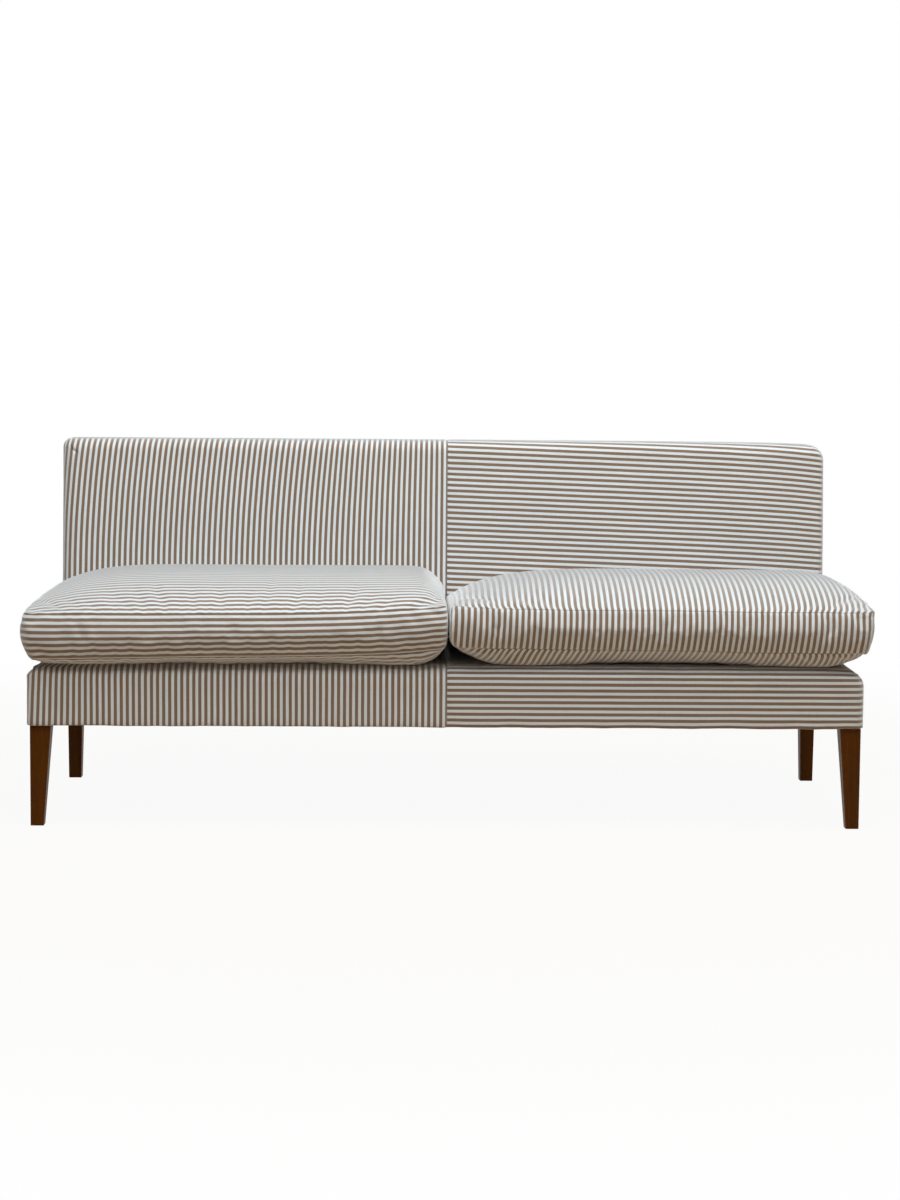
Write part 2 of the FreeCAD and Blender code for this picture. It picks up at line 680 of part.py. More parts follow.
wadding = new_body("rail_wadding", ("0", "0", RAIL_BOTTOM))
outer_side = f"({SEAT_SIDE} - {COVER_AND_FIT})"
outer_front = f"({SEAT_FRONT} + {COVER_AND_FIT})"
inner_side = f"({FRAME_SIDE} + sizes.fit)"
inner_front = f"({FRAME_FRONT} - sizes.fit)"
wadding_corners = [
    (f"-{outer_side}", FRAME_REAR),
    (f"-{outer_side}", outer_front),
    (outer_side, outer_front),
    (outer_side, FRAME_REAR),
    (inner_side, FRAME_REAR),
    (inner_side, inner_front),
    (f"-{inner_side}", inner_front),
    (f"-{inner_side}", FRAME_REAR),
]
wadding_outline = outline(wadding, "rail_wadding_outline", "XY_Plane", wadding_corners)
wadding_height = f"({BACK_BOTTOM} - {RAIL_BOTTOM} - sizes.fit)"
wadding_band = pad(wadding, "rail_wadding_band", wadding_outline, wadding_height)


def front_corner_of_wadding(front):
    return lambda edge: lies_at(edge, "Y", size(front)) and edge.BoundBox.ZLength > 1


wadding_outside = fillet(
    wadding,
    "rail_wadding_outside",
    wadding_band,
    SEAT_FOAM_CORNER,
    front_corner_of_wadding(outer_front),
)
fillet(
    wadding,
    "rail_wadding_inside",
    wadding_outside,
    f"sizes.seat_corner - {SEAT_LAYERS} + sizes.fit",
    front_corner_of_wadding(inner_front),
)

back_foam = new_body("back_foam", (f"{COVER_AND_FIT} - {BACK_SIDE}", "0", "0"))
foam_front = COVER_AND_FIT
foam_rear = f"({COVER_AND_FIT} + sizes.back_foam)"
foam_low = f"({BACK_BOTTOM} + sizes.fit)"
foam_top = f"(sizes.overall_height - {COVER_AND_FIT})"
over_posts = f"({POST_TOP} + sizes.fit)"
back_foam_corners = [
    (back_face(foam_low, foam_front), foam_low),
    (back_face(foam_top, foam_front), foam_top),
    (FRAME_REAR, foam_top),
    (FRAME_REAR, over_posts),
    (back_face(over_posts, foam_rear), over_posts),
    (back_face(foam_low, foam_rear), foam_low),
]
back_foam_outline = outline(back_foam, "back_foam_outline", "YZ_Plane", back_foam_corners)
back_foam_slab = pad(back_foam, "back_foam_slab", back_foam_outline, f"2 * ({BACK_SIDE} - {COVER_AND_FIT})")


def face_edge(slab, ends):
    """The top edge of a raked slab's face, and the upright and top edges at the named ends."""
    whole = slab.Shape.BoundBox
    end_planes = {"low": whole.XMin, "high": whole.XMax}

    def wanted(edge):
        box = edge.BoundBox
        middle = edge.CenterOfMass
        top_front = lies_at(edge, "Z", whole.ZMax) and box.XLength > 1 and box.YMin < whole.YMax - 1
        at_end = any(lies_at(edge, "X", end_planes[end]) for end in ends)
        end_top = at_end and lies_at(edge, "Z", whole.ZMax)
        face_middle = (whole.ZMin + whole.ZMax) / 2
        on_face = at(middle.z, face_middle) and box.YMin < whole.YMin + 1
        return top_front or end_top or (at_end and on_face)

    return wanted


fillet(
    back_foam,
    "back_foam_rounded",
    back_foam_slab,
    f"sizes.back_corner - {COVER_AND_FIT}",
    face_edge(back_foam_slab, ("low", "high")),
)


# Covers, each in a left and a right half that meet at the middle
def seat_cover():
    """Top, front and end of the seat in one skin, turned under the rails and notched for the legs."""
    body = new_body("seat_cover_left", (f"-{SEAT_SIDE}", SEAT_FRONT, "sizes.leg_height"))
    length = f"({SEAT_SIDE} - sizes.fit / 2)"
    width = f"({FRAME_REAR} - {SEAT_FRONT})"
    height = f"({DECK} - sizes.leg_height)"
    block = additive_box(body, "seat_cover_block", length, width, height)
    top = size(height)

    def wanted(edge):
        at_end = lies_at(edge, "X", 0)
        in_front = lies_at(edge, "Y", 0)
        on_top = lies_at(edge, "Z", top)
        return (on_top and (at_end or in_front)) or (at_end and in_front)

    rounded = fillet(body, "seat_cover_rounded", block, "sizes.seat_corner", wanted)
    inner_end = size(length)
    rear_end = size(width)
    hollow(
        body,
        "seat_cover_skin",
        rounded,
        lambda face: lies_at(face, "X", inner_end) or lies_at(face, "Y", rear_end),
    )
    notch_out = f"({SEAT_LAYERS} - 1)"
    notch_in = f"({SEAT_LAYERS} + sizes.front_leg + 1)"
    rear_notch = f"({width} - sizes.rear_leg_depth - 1)"
    opening = [
        (length, "sizes.hem"),
        (notch_in, "sizes.hem"),
        (notch_in, notch_out),
        (notch_out, notch_out),
        (notch_out, notch_in),
        ("sizes.hem", notch_in),
        ("sizes.hem", rear_notch),
        (notch_out, rear_notch),
        (notch_out, width),
        (length, width),
    ]
    underside = outline(body, "seat_cover_opening", "XY_Plane", opening)
    pocket(body, "seat_cover_underside", underside, "2 * sizes.cover_cloth")
    behind = f"({back_face(BACK_BOTTOM)} - sizes.fit - {SEAT_FRONT})"
    above = f"({BACK_BOTTOM} - sizes.fit - sizes.leg_height)"
    past_rear = f"({width} + 1)"
    past_top = f"({height} + 1)"
    under_back = [(behind, above), (past_rear, above), (past_rear, past_top), (behind, past_top)]
    step = outline(body, "seat_cover_step", "YZ_Plane", under_back)
    pocket(body, "seat_cover_under_back", step, length)
    return body


def back_block(name, inward, beyond):
    """The rounded form of the left half of the back, drawn in by a wall and run on past its open sides."""
    body = new_body(name, (f"{inward} - {BACK_SIDE}", "0", "0"))
    low = f"({BACK_BOTTOM} - {beyond})"
    top = f"(sizes.overall_height - {inward})"
    rear = f"({FRAME_REAR} + {beyond})"
    corners = [(back_face(low, inward), low), (back_face(top, inward), top), (rear, top), (rear, low)]
    profile = outline(body, f"{name}_outline", "YZ_Plane", corners)
    block = pad(body, f"{name}_pad", profile, f"{BACK_SIDE} - {inward} - sizes.fit / 2 + {beyond}")
    fillet(body, f"{name}_rounded", block, f"sizes.back_corner - {inward}", face_edge(block, ("low",)))
    return body


def back_cover():
    """Face, top and end of the back in one skin."""
    outside = back_block("back_cover_outside", "0", "0")
    inside = back_block("back_cover_inside", "sizes.cover_cloth", "20")
    return cut("back_cover_left", outside, inside)


mirrored("seat_cover_right", seat_cover())
mirrored("back_cover_right", back_cover())
outside_back = plain_box(
    "outside_back_left",
    (f"-{BACK_SIDE}", f"{FRAME_REAR} + sizes.fit", "sizes.leg_height"),
    (
        f"{BACK_SIDE} - sizes.fit / 2",
        "sizes.cover_cloth",
        "sizes.overall_height - sizes.outside_back_drop - sizes.leg_height",
    ),
)
mirrored("outside_back_right", outside_back)

dust_cover = new_body("dust_cover", ("0", "0", "sizes.leg_height - sizes.fit - sizes.dust_cloth"))
dust_side = f"({SEAT_SIDE} - 12)"
dust_front = f"({SEAT_FRONT} + 12)"
dust_rear = f"({FRAME_REAR} - 2)"
clear_front_side = f"({FRAME_SIDE} - sizes.front_leg - 1)"
clear_front = f"({FRAME_FRONT} + sizes.front_leg + 1)"
clear_rear_side = f"({FRAME_SIDE} - sizes.rear_leg_width - 1)"
clear_rear = f"({FRAME_REAR} - sizes.rear_leg_depth - 1)"
dust_half = [
    (clear_front_side, dust_front),
    (clear_front_side, clear_front),
    (dust_side, clear_front),
    (dust_side, clear_rear),
    (clear_rear_side, clear_rear),
    (clear_rear_side, dust_rear),
]
dust_corners = dust_half + [(f"-{x}", y) for x, y in reversed(dust_half)]
dust_outline = outline(dust_cover, "dust_cover_outline", "XY_Plane", dust_corners)
pad(dust_cover, "dust_cover_cloth", dust_outline, "sizes.dust_cloth")


# Cushions: a crowned top panel, upright boxing and a shallower bottom panel, joined at two seams
CORNER_CHORDS = 3
CROWN_BANDS = 6
BOXING_BANDS = 4
CROWN_FULLNESS = 2.5


def cushion_ring(inset, height, bulge=0.0):
    """One level outline: rounded corners, sides drawn in between them, swollen by the bulge."""
    seam_in = size("sizes.boxing_bulge")
    draw_in = size("sizes.side_draw")
    half = size(CUSHION_WIDTH) / 2 - seam_in - inset + bulge
    front = size(CUSHION_FRONT) + seam_in + inset - bulge
    rear = size(CUSHION_REAR) - inset
    corner = size("sizes.cushion_corner")
    turns = (
        (half - corner, front + corner, -90),
        (half - corner, rear - corner, 0),
        (corner - half, rear - corner, 90),
        (corner - half, front + corner, 180),
    )
    drawn_middles = (
        (half - draw_in, (front + rear) / 2),
        (0, rear),
        (draw_in - half, (front + rear) / 2),
        (0, front + draw_in),
    )
    points = []
    for (x, y, start), middle in zip(turns, drawn_middles):
        for chord in range(CORNER_CHORDS + 1):
            angle = math.radians(start + 90 * chord / CORNER_CHORDS)
            points.append((x + corner * math.cos(angle), y + corner * math.sin(angle)))
        points.append(middle)
    corners = [FreeCAD.Vector(x, y, height) for x, y in points]
    return Part.makePolygon(corners + corners[:1])


def crown(reach, fullness, seam, direction, wall):
    """Rings of a panel from its seam to its flat middle, steep at the seam and easing off."""
    rings = []
    for band in range(CROWN_BANDS + 1):
        way_in = (band / CROWN_BANDS) ** 1.5
        rise = 1 - (1 - way_in) ** CROWN_FULLNESS
        rings.append(cushion_ring(way_in * reach + wall, seam + direction * rise * (fullness - wall)))
    return rings


def cushion_solid(wall):
    """Bottom panel, boxing and top panel as one solid, drawn in by a wall all round."""
    low = size(LOWER_SEAM)
    high = size(UPPER_SEAM)
    below = crown(size("sizes.bottom_reach"), size("sizes.bottom_crown"), low, -1, wall)
    above = crown(size("sizes.top_reach"), size("sizes.top_crown"), high, 1, wall)
    boxing = []
    for band in range(BOXING_BANDS + 1):
        share = band / BOXING_BANDS
        bulge = size("sizes.boxing_bulge") * math.sin(math.pi * share)
        boxing.append(cushion_ring(wall, low + share * (high - low), bulge))
    rings = list(reversed(below)) + boxing[1:-1] + above
    faces = [Part.Face(rings[0]), Part.Face(rings[-1])]
    for lower, upper in zip(rings, rings[1:]):
        band = Part.makeLoft([lower, upper], False, True)
        faces += [Part.Face(facet.OuterWire) for facet in band.Faces]
    skin = Part.makeShell(faces)
    skin.sewShape()
    solid = Part.makeSolid(skin)
    if solid.Volume < 0:
        solid.reverse()
    return solid


CLOTH = size("sizes.cover_cloth")
cushion_place = FreeCAD.Placement(FreeCAD.Vector(-size(CUSHION_MIDDLE), 0, 0), FreeCAD.Rotation())
cushion_skin = cushion_solid(0.0).cut(cushion_solid(CLOTH))
cushion_blank = shaped("left_cushion_cover_blank", cushion_skin, cushion_place)
zip_half = "(sizes.zip_length / 2)"
zip_opening = plain_box(
    "left_zip_opening",
    (
        f"-{CUSHION_MIDDLE} - {zip_half} - 1",
        f"{CUSHION_REAR} - 2 * sizes.cover_cloth",
        f"{ZIP_HEIGHT} - 3.2",
    ),
    ("sizes.zip_length + 2", "4 * sizes.cover_cloth", "6.4"),
)
mirrored("right_cushion_cover", cut("left_cushion_cover", cushion_blank, zip_opening))
PAD_WALL = size("sizes.cover_cloth + 5 * sizes.fit") + 0.15
mirrored("right_cushion_pad", shaped("left_cushion_pad", cushion_solid(PAD_WALL), cushion_place))

zip_tape = plain_box(
    "left_zip_tape",
    (
        f"-{CUSHION_MIDDLE} - {zip_half} - 10",
        f"{CUSHION_REAR} - {COVER_AND_FIT} - 0.8",
        f"{ZIP_HEIGHT} - 16",
    ),
    ("sizes.zip_length + 20", "0.8", "32"),
)
zip_chain = plain_box(
    "left_zip_chain",
    (f"-{CUSHION_MIDDLE} - {zip_half}", f"{CUSHION_REAR} - {COVER_AND_FIT}", f"{ZIP_HEIGHT} - 2.5"),
    ("sizes.zip_length", f"{COVER_AND_FIT} + 2", "5"),
)
left_zip = doc.addObject("Part::Fuse", "left_cushion_zip")
left_zip.Base = zip_tape
left_zip.Tool = zip_chain
mirrored("right_cushion_zip", left_zip)

slider_start = f"(-{CUSHION_MIDDLE} - sizes.zip_travel / 2 - 6)"
slider_block = plain_box(
    "left_zip_slider_block",
    (slider_start, f"{CUSHION_REAR} + 0.4", f"{ZIP_HEIGHT} - 5.2"),
    ("12", "4.2", "10.4"),
)
slider_channel = plain_box(
    "left_zip_slider_channel",
    (f"{slider_start} - 1", f"{CUSHION_REAR} - 0.6", f"{ZIP_HEIGHT} - 3"),
    ("14", "3", "6"),
)
mirrored("right_zip_slider", cut("left_zip_slider", slider_block, slider_channel))


NODES = (
    "front_left_leg",
    "front_right_leg",
    "rear_left_post",
    "rear_right_post",
    "front_seat_rail",
    "rear_seat_rail",
    "left_seat_rail",
    "right_seat_rail",
    "centre_cross_rail",
    "front_corner_blocks",
    "rear_corner_blocks",
    "corner_block_screws",
    "centre_back_post",
    "back_top_rail",
    "back_lower_rail",
    "seat_tenons",
    "back_tenons",
    "seat_webbing_crosswise",
    "seat_webbing_lengthwise",
    "back_webbing_upright",
    "back_webbing_across",
    "seat_hessian",
    "back_hessian",
    "seat_foam",
    "rail_wadding",
    "back_foam",
    "seat_cover_left",
    "seat_cover_right",
    "back_cover_left",
    "back_cover_right",
    "outside_back_left",
    "outside_back_right",
    "dust_cover",
    "left_cushion_cover",
    "right_cushion_cover",
    "left_cushion_pad",
    "right_cushion_pad",
    "left_cushion_zip",
    "right_cushion_zip",
    "left_zip_slider",
    "right_zip_slider",
)

doc.recompute()
for item in doc.Objects:
    if "Invalid" in item.State or "Error" in item.State:
        raise RuntimeError(f"{item.Label} did not build: {item.State}")

os.makedirs("parts", exist_ok=True)
for name in NODES:
    shape = doc.getObject(name).Shape
    if shape.isNull() or not shape.isValid():
        raise RuntimeError(f"{name} has no sound shape")
    shape.exportStep(f"parts/{name}.step")
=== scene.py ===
"""A ticking banquette: its frame dressed in padding, striped cloth, loose cushions, zips and stained legs."""

import itertools
import math

import bmesh
import bpy
import numpy as np
from bpy.props import FloatProperty, FloatVectorProperty, PointerProperty
from mathutils import Matrix, Vector, noise


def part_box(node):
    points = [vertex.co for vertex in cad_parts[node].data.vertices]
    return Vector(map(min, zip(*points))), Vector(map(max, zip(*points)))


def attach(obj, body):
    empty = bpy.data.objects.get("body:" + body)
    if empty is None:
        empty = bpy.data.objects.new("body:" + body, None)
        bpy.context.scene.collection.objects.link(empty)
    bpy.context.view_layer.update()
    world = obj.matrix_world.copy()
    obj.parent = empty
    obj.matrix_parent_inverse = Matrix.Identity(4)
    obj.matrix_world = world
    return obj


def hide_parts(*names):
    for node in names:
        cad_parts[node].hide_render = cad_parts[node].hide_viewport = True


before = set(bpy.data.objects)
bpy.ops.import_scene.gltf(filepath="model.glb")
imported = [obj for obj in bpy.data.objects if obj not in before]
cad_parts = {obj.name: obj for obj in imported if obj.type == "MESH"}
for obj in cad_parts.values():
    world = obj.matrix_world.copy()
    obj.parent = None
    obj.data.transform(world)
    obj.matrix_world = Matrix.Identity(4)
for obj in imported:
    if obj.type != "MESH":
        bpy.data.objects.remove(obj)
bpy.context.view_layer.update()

bl_info = {
    "name": "Ticking banquette",
    "version": (1, 0, 0),
    "blender": (4, 5, 0),
    "location": "3D View > Sidebar > Banquette",
    "description": "Dresses the banquette's frame in padding, striped cloth, cushions, zips and stained legs",
    "category": "Object",
}

MM = 0.001
SIDES = {"left": -1, "right": 1}

# How much further back the face of the back is at its top than at its foot
BACK_LEAN = 43 * MM


# Sizes and colours a user would change


def length(name, description, default):
    """A size in metres, given here in millimetres."""
    return FloatProperty(
        name=name, description=description, default=default * MM, min=0, unit="LENGTH", precision=4
    )


def colour(name, description, default):
    """A linear colour."""
    return FloatVectorProperty(
        name=name, description=description, default=default, min=0, max=1, size=3, subtype="COLOR"
    )


class BanquetteSizes(bpy.types.PropertyGroup):
    """Sizes of the cloth, the cushions and their sewing."""

    stripe_pitch: length("Stripe pitch", "From one brown stripe to the next", 12.9)
    brown_share: FloatProperty(
        name="Brown share",
        description="How much of the pitch is brown",
        default=0.52,
        min=0,
        max=1,
        subtype="FACTOR",
    )
    thread_pitch: length("Thread pitch", "From one thread of the weave to the next", 0.75)
    cloth_thickness: length("Cloth thickness", "How thick the ticking is", 1.2)
    boxing_height: length("Boxing height", "Height of a cushion's side strip between its seams", 90)
    boxing_bulge: length("Boxing bulge", "How far the side strip stands out between its seams", 8)
    top_crown: length("Top crown", "How far a cushion's top rises above its upper seam", 55)
    bottom_crown: length("Bottom crown", "How far a cushion's underside hangs below its lower seam", 36)
    front_reach: length("Front rise", "How far back a cushion's crown is full", 262)
    bottom_reach: length("Underside rise", "How far in a cushion's underside is flat at the front", 70)
    overhang: length("Overhang", "How much further than its solid a cushion's front stands", 16)
    spread: length("Spread", "How much further than its solid the right cushion's end stands", 4)
    cushion_corner: length("Cushion corner", "Rounding of a cushion's corners seen from above", 18)
    side_draw: length("Side draw", "How far a cushion's sides pull in between its corners", 3)
    seam_depth: length("Seam depth", "How far a seam pulls the cloth in", 1.6)
    pucker: length("Pucker", "How far the cloth gathers beside a seam", 0.6)
    ear: length("Corner ear", "How far a cushion's corners stand out", 3.5)
    swell_limit: length("Swelling limit", "The furthest that filling a cushion may push its cloth", 10)
    seat_edge: length("Seat edge", "Rounding along the top of the seat's front", 36)
    back_edge: length("Back edge", "Rounding along the front of the back's top", 26)
    hem_wave: length("Hem wave", "How far the seat's lower edge wanders up and down", 1.6)


class BanquetteColours(bpy.types.PropertyGroup):
    """Colours of the cloth, the wood and the small fittings."""

    off_white: colour("Off-white", "Ground of the ticking", (0.745, 0.78, 0.795))
    brown: colour("Brown", "Stripe of the ticking", (0.205, 0.118, 0.060))
    # Painted sheen: a pale colour that the ticking is blended towards where it is seen at a slant, standing
    # in for the sheen that veils the cloth there
    painted_sheen: colour("Nap", "Pale fibres of the ticking seen at a slant", (0.735, 0.745, 0.75))
    leg_stain: colour("Leg stain", "Stain on the legs", (0.090, 0.026, 0.001))
    beech: colour("Beech", "Bare wood of the frame", (0.52, 0.33, 0.17))
    jute: colour("Jute", "Webbing and hessian", (0.40, 0.27, 0.13))
    webbing_line: colour("Webbing line", "Line woven into the webbing", (0.10, 0.03, 0.02))
    foam: colour("Foam", "Seat and back foam", (0.72, 0.64, 0.42))
    wadding: colour("Wadding", "Fibre wadding", (0.80, 0.79, 0.76))
    pad_cotton: colour("Pad cotton", "Case of the cushions' filling", (0.76, 0.74, 0.68))
    dust_cloth: colour("Dust cloth", "Cloth under the seat", (0.012, 0.012, 0.013))
    steel: colour("Steel", "Screws and staples", (0.56, 0.56, 0.55))
    brass: colour("Brass", "Zip slider", (0.60, 0.44, 0.20))
    zip_tape: colour("Zip tape", "Tape and teeth of the zips", (0.46, 0.40, 0.33))
    thread: colour("Thread", "Sewing thread", (0.62, 0.60, 0.55))


# Writing node trees as plain sums


class Value:
    """A node's output that can be added, multiplied and taken away like a number."""

    def __init__(self, net, socket):
        self.net = net
        self.socket = socket

    def worked(self, operation, first, second):
        """The result of one sum."""
        return self.net.node("ShaderNodeMath", {"operation": operation}, {0: first, 1: second})

    def __add__(self, other):
        return self.worked("ADD", self, other)

    def __radd__(self, other):
        return self.worked("ADD", other, self)

    def __sub__(self, other):
        return self.worked("SUBTRACT", self, other)

    def __rsub__(self, other):
        return self.worked("SUBTRACT", other, self)

    def __mul__(self, other):
        return self.worked("MULTIPLY", self, other)

    def __rmul__(self, other):
        return self.worked("MULTIPLY", other, self)

    def __truediv__(self, other):
        return self.worked("DIVIDE", self, other)

    def __abs__(self):
        return self.worked("ABSOLUTE", self, 0)

    def sine(self):
        """The sine of an angle in radians."""
        return self.worked("SINE", self, 0)

    def swing(self, most):
        """To and fro between nothing and the most."""
        return self.worked("PINGPONG", self, most)


class Net:
    """A node tree that nodes are added to."""

    def __init__(self, tree):
        self.tree = tree

    def node(self, kind, settings=(), sockets=(), output=0):
        """Adds a node, sets it up, feeds its sockets and gives back one of its outputs."""
        made = self.tree.nodes.new(kind)
        for name, value in dict(settings).items():
            setattr(made, name, value)
        for name, value in dict(sockets).items():
            self.feed(made.inputs[name], value)
        return Value(self, made.outputs[output])

    def feed(self, socket, value):
        """Links a wrapped output to a socket, or writes a plain value there."""
        if isinstance(value, Value):
            self.tree.links.new(value.socket, socket)
        else:
            socket.default_value = value


class Finish(Net):
    """A material, made from its surface's own coordinates."""

    def __init__(self, name, **constants):
        self.material = bpy.data.materials.new(name)
        self.material.use_nodes = True
        super().__init__(self.material.node_tree)
        self.shader = self.tree.nodes["Principled BSDF"]
        for socket, value in constants.items():
            self.shader.inputs[socket.replace("_", " ").title().replace("Ior", "IOR")].default_value = value

    def spot(self):
        """The place on the object, in metres."""
        return self.node("ShaderNodeTexCoord", output=3)

    def cloth(self):
        """The place on the flat cloth, in metres: across the stripes, then along them."""
        return self.node("ShaderNodeUVMap", {"uv_map": "cloth"})

    def part(self, place, axis):
        """One coordinate of a place: 0, 1 or 2."""
        return self.node("ShaderNodeSeparateXYZ", {}, {0: place}, axis)

    def cloudy(self, place, fineness, detail=3.0, roughness=0.5, distortion=0.0):
        """Soft noise from 0 to 1; the fineness is how often it changes in a metre along each axis."""
        sockets = {
            "Vector": self.node("ShaderNodeVectorMath", {"operation": "MULTIPLY"}, {0: place, 1: fineness}),
            "Scale": 1.0,
            "Detail": detail,
            "Roughness": roughness,
            "Distortion": distortion,
        }
        return self.node("ShaderNodeTexNoise", {}, sockets)

    def step(self, value, low, high):
        """A smooth step from 0 at low to 1 at high."""
        sockets = {"Value": value, "From Min": low, "From Max": high}
        return self.node("ShaderNodeMapRange", {"interpolation_type": "SMOOTHSTEP"}, sockets)

    def blend(self, share, first, second):
        """A colour between two colours."""
        sockets = {0: share, 6: first, 7: second}
        return self.node("ShaderNodeMix", {"data_type": "RGBA"}, sockets, 2)

    def shade(self, tint, amount):
        """A colour made lighter or darker."""
        return self.node("ShaderNodeVectorMath", {"operation": "SCALE"}, {0: tint, "Scale": amount})

    def raised(self, height, depth, strength=1.0):
        """A surface that stands up where the height is near 1."""
        sockets = {"Height": height, "Distance": depth, "Strength": strength}
        return self.node("ShaderNodeBump", {}, sockets)

    def worn_edge(self, reach):
        """Near 1 along sharp edges and 0 on flat faces."""
        eased = self.node("ShaderNodeBevel", {"samples": 6}, {"Radius": reach})
        straight = self.node("ShaderNodeNewGeometry", output=1)
        likeness = self.node("ShaderNodeVectorMath", {"operation": "DOT_PRODUCT"}, {0: eased, 1: straight}, 1)
        return self.step(likeness, 0.985, 0.86)

    def done(self, tint, roughness, normal):
        """Feeds the shader and gives back the material."""
        self.feed(self.shader.inputs["Base Color"], tint)
        self.feed(self.shader.inputs["Roughness"], roughness)
        self.feed(self.shader.inputs["Normal"], normal)
        return self.material


def opaque(tint):
    """A colour with its alpha."""
    return (*tint, 1.0)


# Finishes


def plain_weave(finish, across, along, pitch):
    """The crossings of a plain weave: its height, and where the cross threads lie on top."""
    crossing = (across * (math.pi / pitch)).sine() * (along * (math.pi / pitch)).sine()
    return abs(crossing), finish.step(crossing, 0.2, -0.2)


def ticking_finish(sizes, colours):
    """Cotton ticking: brown stripes on off-white, with uneven threads, a soft sheen, a painted sheen that
    makes it paler where it is seen at a slant, and painted shade along the seams.
    """
    finish = Finish("ticking", sheen_weight=1.0, sheen_roughness=0.5, specular_ior_level=0.2)
    place = finish.cloth()
    across = finish.part(place, 0)
    along = finish.part(place, 1)
    wander = finish.cloudy(place, (9, 14, 1), detail=2) - 0.5
    from_stripe = ((across + wander * (0.8 * MM)) / sizes.stripe_pitch).swing(0.5)
    half_stripe = sizes.brown_share / 2
    fuzz = 0.022
    brown = finish.step(from_stripe, half_stripe + fuzz, half_stripe - fuzz)
    height, weft_on_top = plain_weave(finish, across, along, sizes.thread_pitch)
    slub_across = finish.cloudy(place, (28, 1300, 1), detail=2)
    slub_along = finish.cloudy(place, (1300, 28, 1), detail=2)
    faded = finish.cloudy(place, (7, 7, 1), detail=4)
    warp = finish.blend(brown, opaque(colours.off_white), opaque(colours.brown))
    weft = [0.93 * part for part in colours.off_white]
    mixed = finish.blend(weft_on_top * 0.09, warp, opaque(weft))
    threads = 0.80 + 0.20 * slub_across + 0.14 * slub_along + 0.08 * faded
    # Painted shade: the ticking is darkened within about 2 mm of a seam, where the seam's groove lies in
    # shade
    joined = finish.node("ShaderNodeAttribute", {"attribute_name": "from_seam"}, output=2)
    seam = finish.step(joined, 1.9 * MM, 0.2 * MM)
    # Painted sheen: the more the cloth is seen at a slant, the more it is blended towards a pale colour
    slant = finish.node("ShaderNodeLayerWeight", {}, {"Blend": 0.5}, 1)
    with_painted_sheen = finish.blend(slant * slant * 0.6, mixed, opaque(colours.painted_sheen))
    tint = finish.shade(with_painted_sheen, threads * (1 - 0.38 * seam))
    relief = height + 0.6 * slub_across + 0.4 * slub_along
    return finish.done(tint, 0.80 + 0.15 * slub_across, finish.raised(relief, 0.16 * MM, 0.55))


def leg_finish(sizes, colours):
    """Stained hardwood: grain and pores along the leg, lighter where edges have worn."""
    finish = Finish("stained_leg", specular_ior_level=0.08)
    spot = finish.spot()
    figure = finish.cloudy(spot, (55, 55, 3.2), detail=5, roughness=0.6, distortion=0.7)
    lines = finish.cloudy(spot, (240, 240, 5), detail=3)
    pores = finish.step(finish.cloudy(spot, (950, 950, 26), detail=1), 0.60, 0.72)
    stain = Vector(colours.leg_stain)
    dark = finish.blend(figure, opaque(stain * 0.45), opaque(stain * 1.55))
    grained = finish.shade(dark, (0.72 + 0.56 * lines) * (1 - 0.45 * pores))
    patchy = finish.step(finish.cloudy(spot, (60, 60, 14), detail=3), 0.42, 0.62)
    worn = finish.worn_edge(2.2 * MM) * patchy
    tint = finish.blend(worn * 0.75, grained, opaque(stain * 2.6 + Vector((0.03, 0.02, 0.01))))
    roughness = 0.36 + 0.16 * lines + 0.12 * worn
    return finish.done(tint, roughness, finish.raised(lines * 0.5 - pores, 0.12 * MM, 0.5))


def beech_finish(sizes, colours):
    """Bare planed beech with its short flecks."""
    finish = Finish("frame_wood", specular_ior_level=0.35)
    spot = finish.spot()
    figure = finish.cloudy(spot, (9, 60, 60), detail=4, distortion=0.5)
    flecks = finish.step(finish.cloudy(spot, (120, 700, 700), detail=1), 0.62, 0.70)
    bare = Vector(colours.beech)
    tint = finish.shade(finish.blend(figure, opaque(bare * 0.8), opaque(bare * 1.15)), 1 - 0.35 * flecks)
    return finish.done(tint, 0.55 + 0.15 * figure, finish.raised(figure - flecks, 0.1 * MM, 0.4))


def steel_finish(sizes, colours):
    """Zinc-plated steel with a cloudy plating."""
    finish = Finish("screw_steel", metallic=1.0)
    clouds = finish.cloudy(finish.spot(), (300, 300, 300), detail=4)
    tint = finish.shade(colours.steel, 0.8 + 0.4 * clouds)
    return finish.done(tint, 0.25 + 0.3 * clouds, finish.raised(clouds, 0.02 * MM))


def brass_finish(sizes, colours):
    """Brushed brass, brighter where edges are rubbed."""
    finish = Finish("zip_metal", metallic=1.0)
    brushed = finish.cloudy(finish.spot(), (200, 3000, 3000), detail=3)
    rubbed = finish.worn_edge(0.5 * MM)
    dull = finish.shade(colours.brass, 0.65 + 0.4 * brushed)
    tint = finish.blend(rubbed, dull, opaque(Vector(colours.brass) * 1.4))
    return finish.done(tint, 0.42 - 0.15 * rubbed, finish.raised(brushed, 0.02 * MM))


def jute_finish(name, colours, pitch, line):
    """Coarse jute in a plain weave; webbing has lines woven along it."""
    finish = Finish(name, specular_ior_level=0.15)
    spot = finish.spot()
    across = finish.part(spot, 0)
    upward = finish.part(spot, 1) + finish.part(spot, 2)
    height, weft_on_top = plain_weave(finish, across, upward, pitch)
    hairs = finish.cloudy(spot, (500, 500, 500), detail=3)
    shades = finish.cloudy(spot, (25, 25, 25), detail=3)
    raw = Vector(colours.jute)
    woven = finish.blend(weft_on_top, opaque(raw), opaque(raw * 0.7))
    lined = finish.blend(finish.step(shades, 0.60, 0.62) * line, woven, opaque(colours.webbing_line))
    tint = finish.shade(lined, 0.55 + 0.5 * hairs + 0.3 * shades)
    return finish.done(tint, 0.9 + 0.05 * hairs, finish.raised(height + hairs, 0.5 * MM))


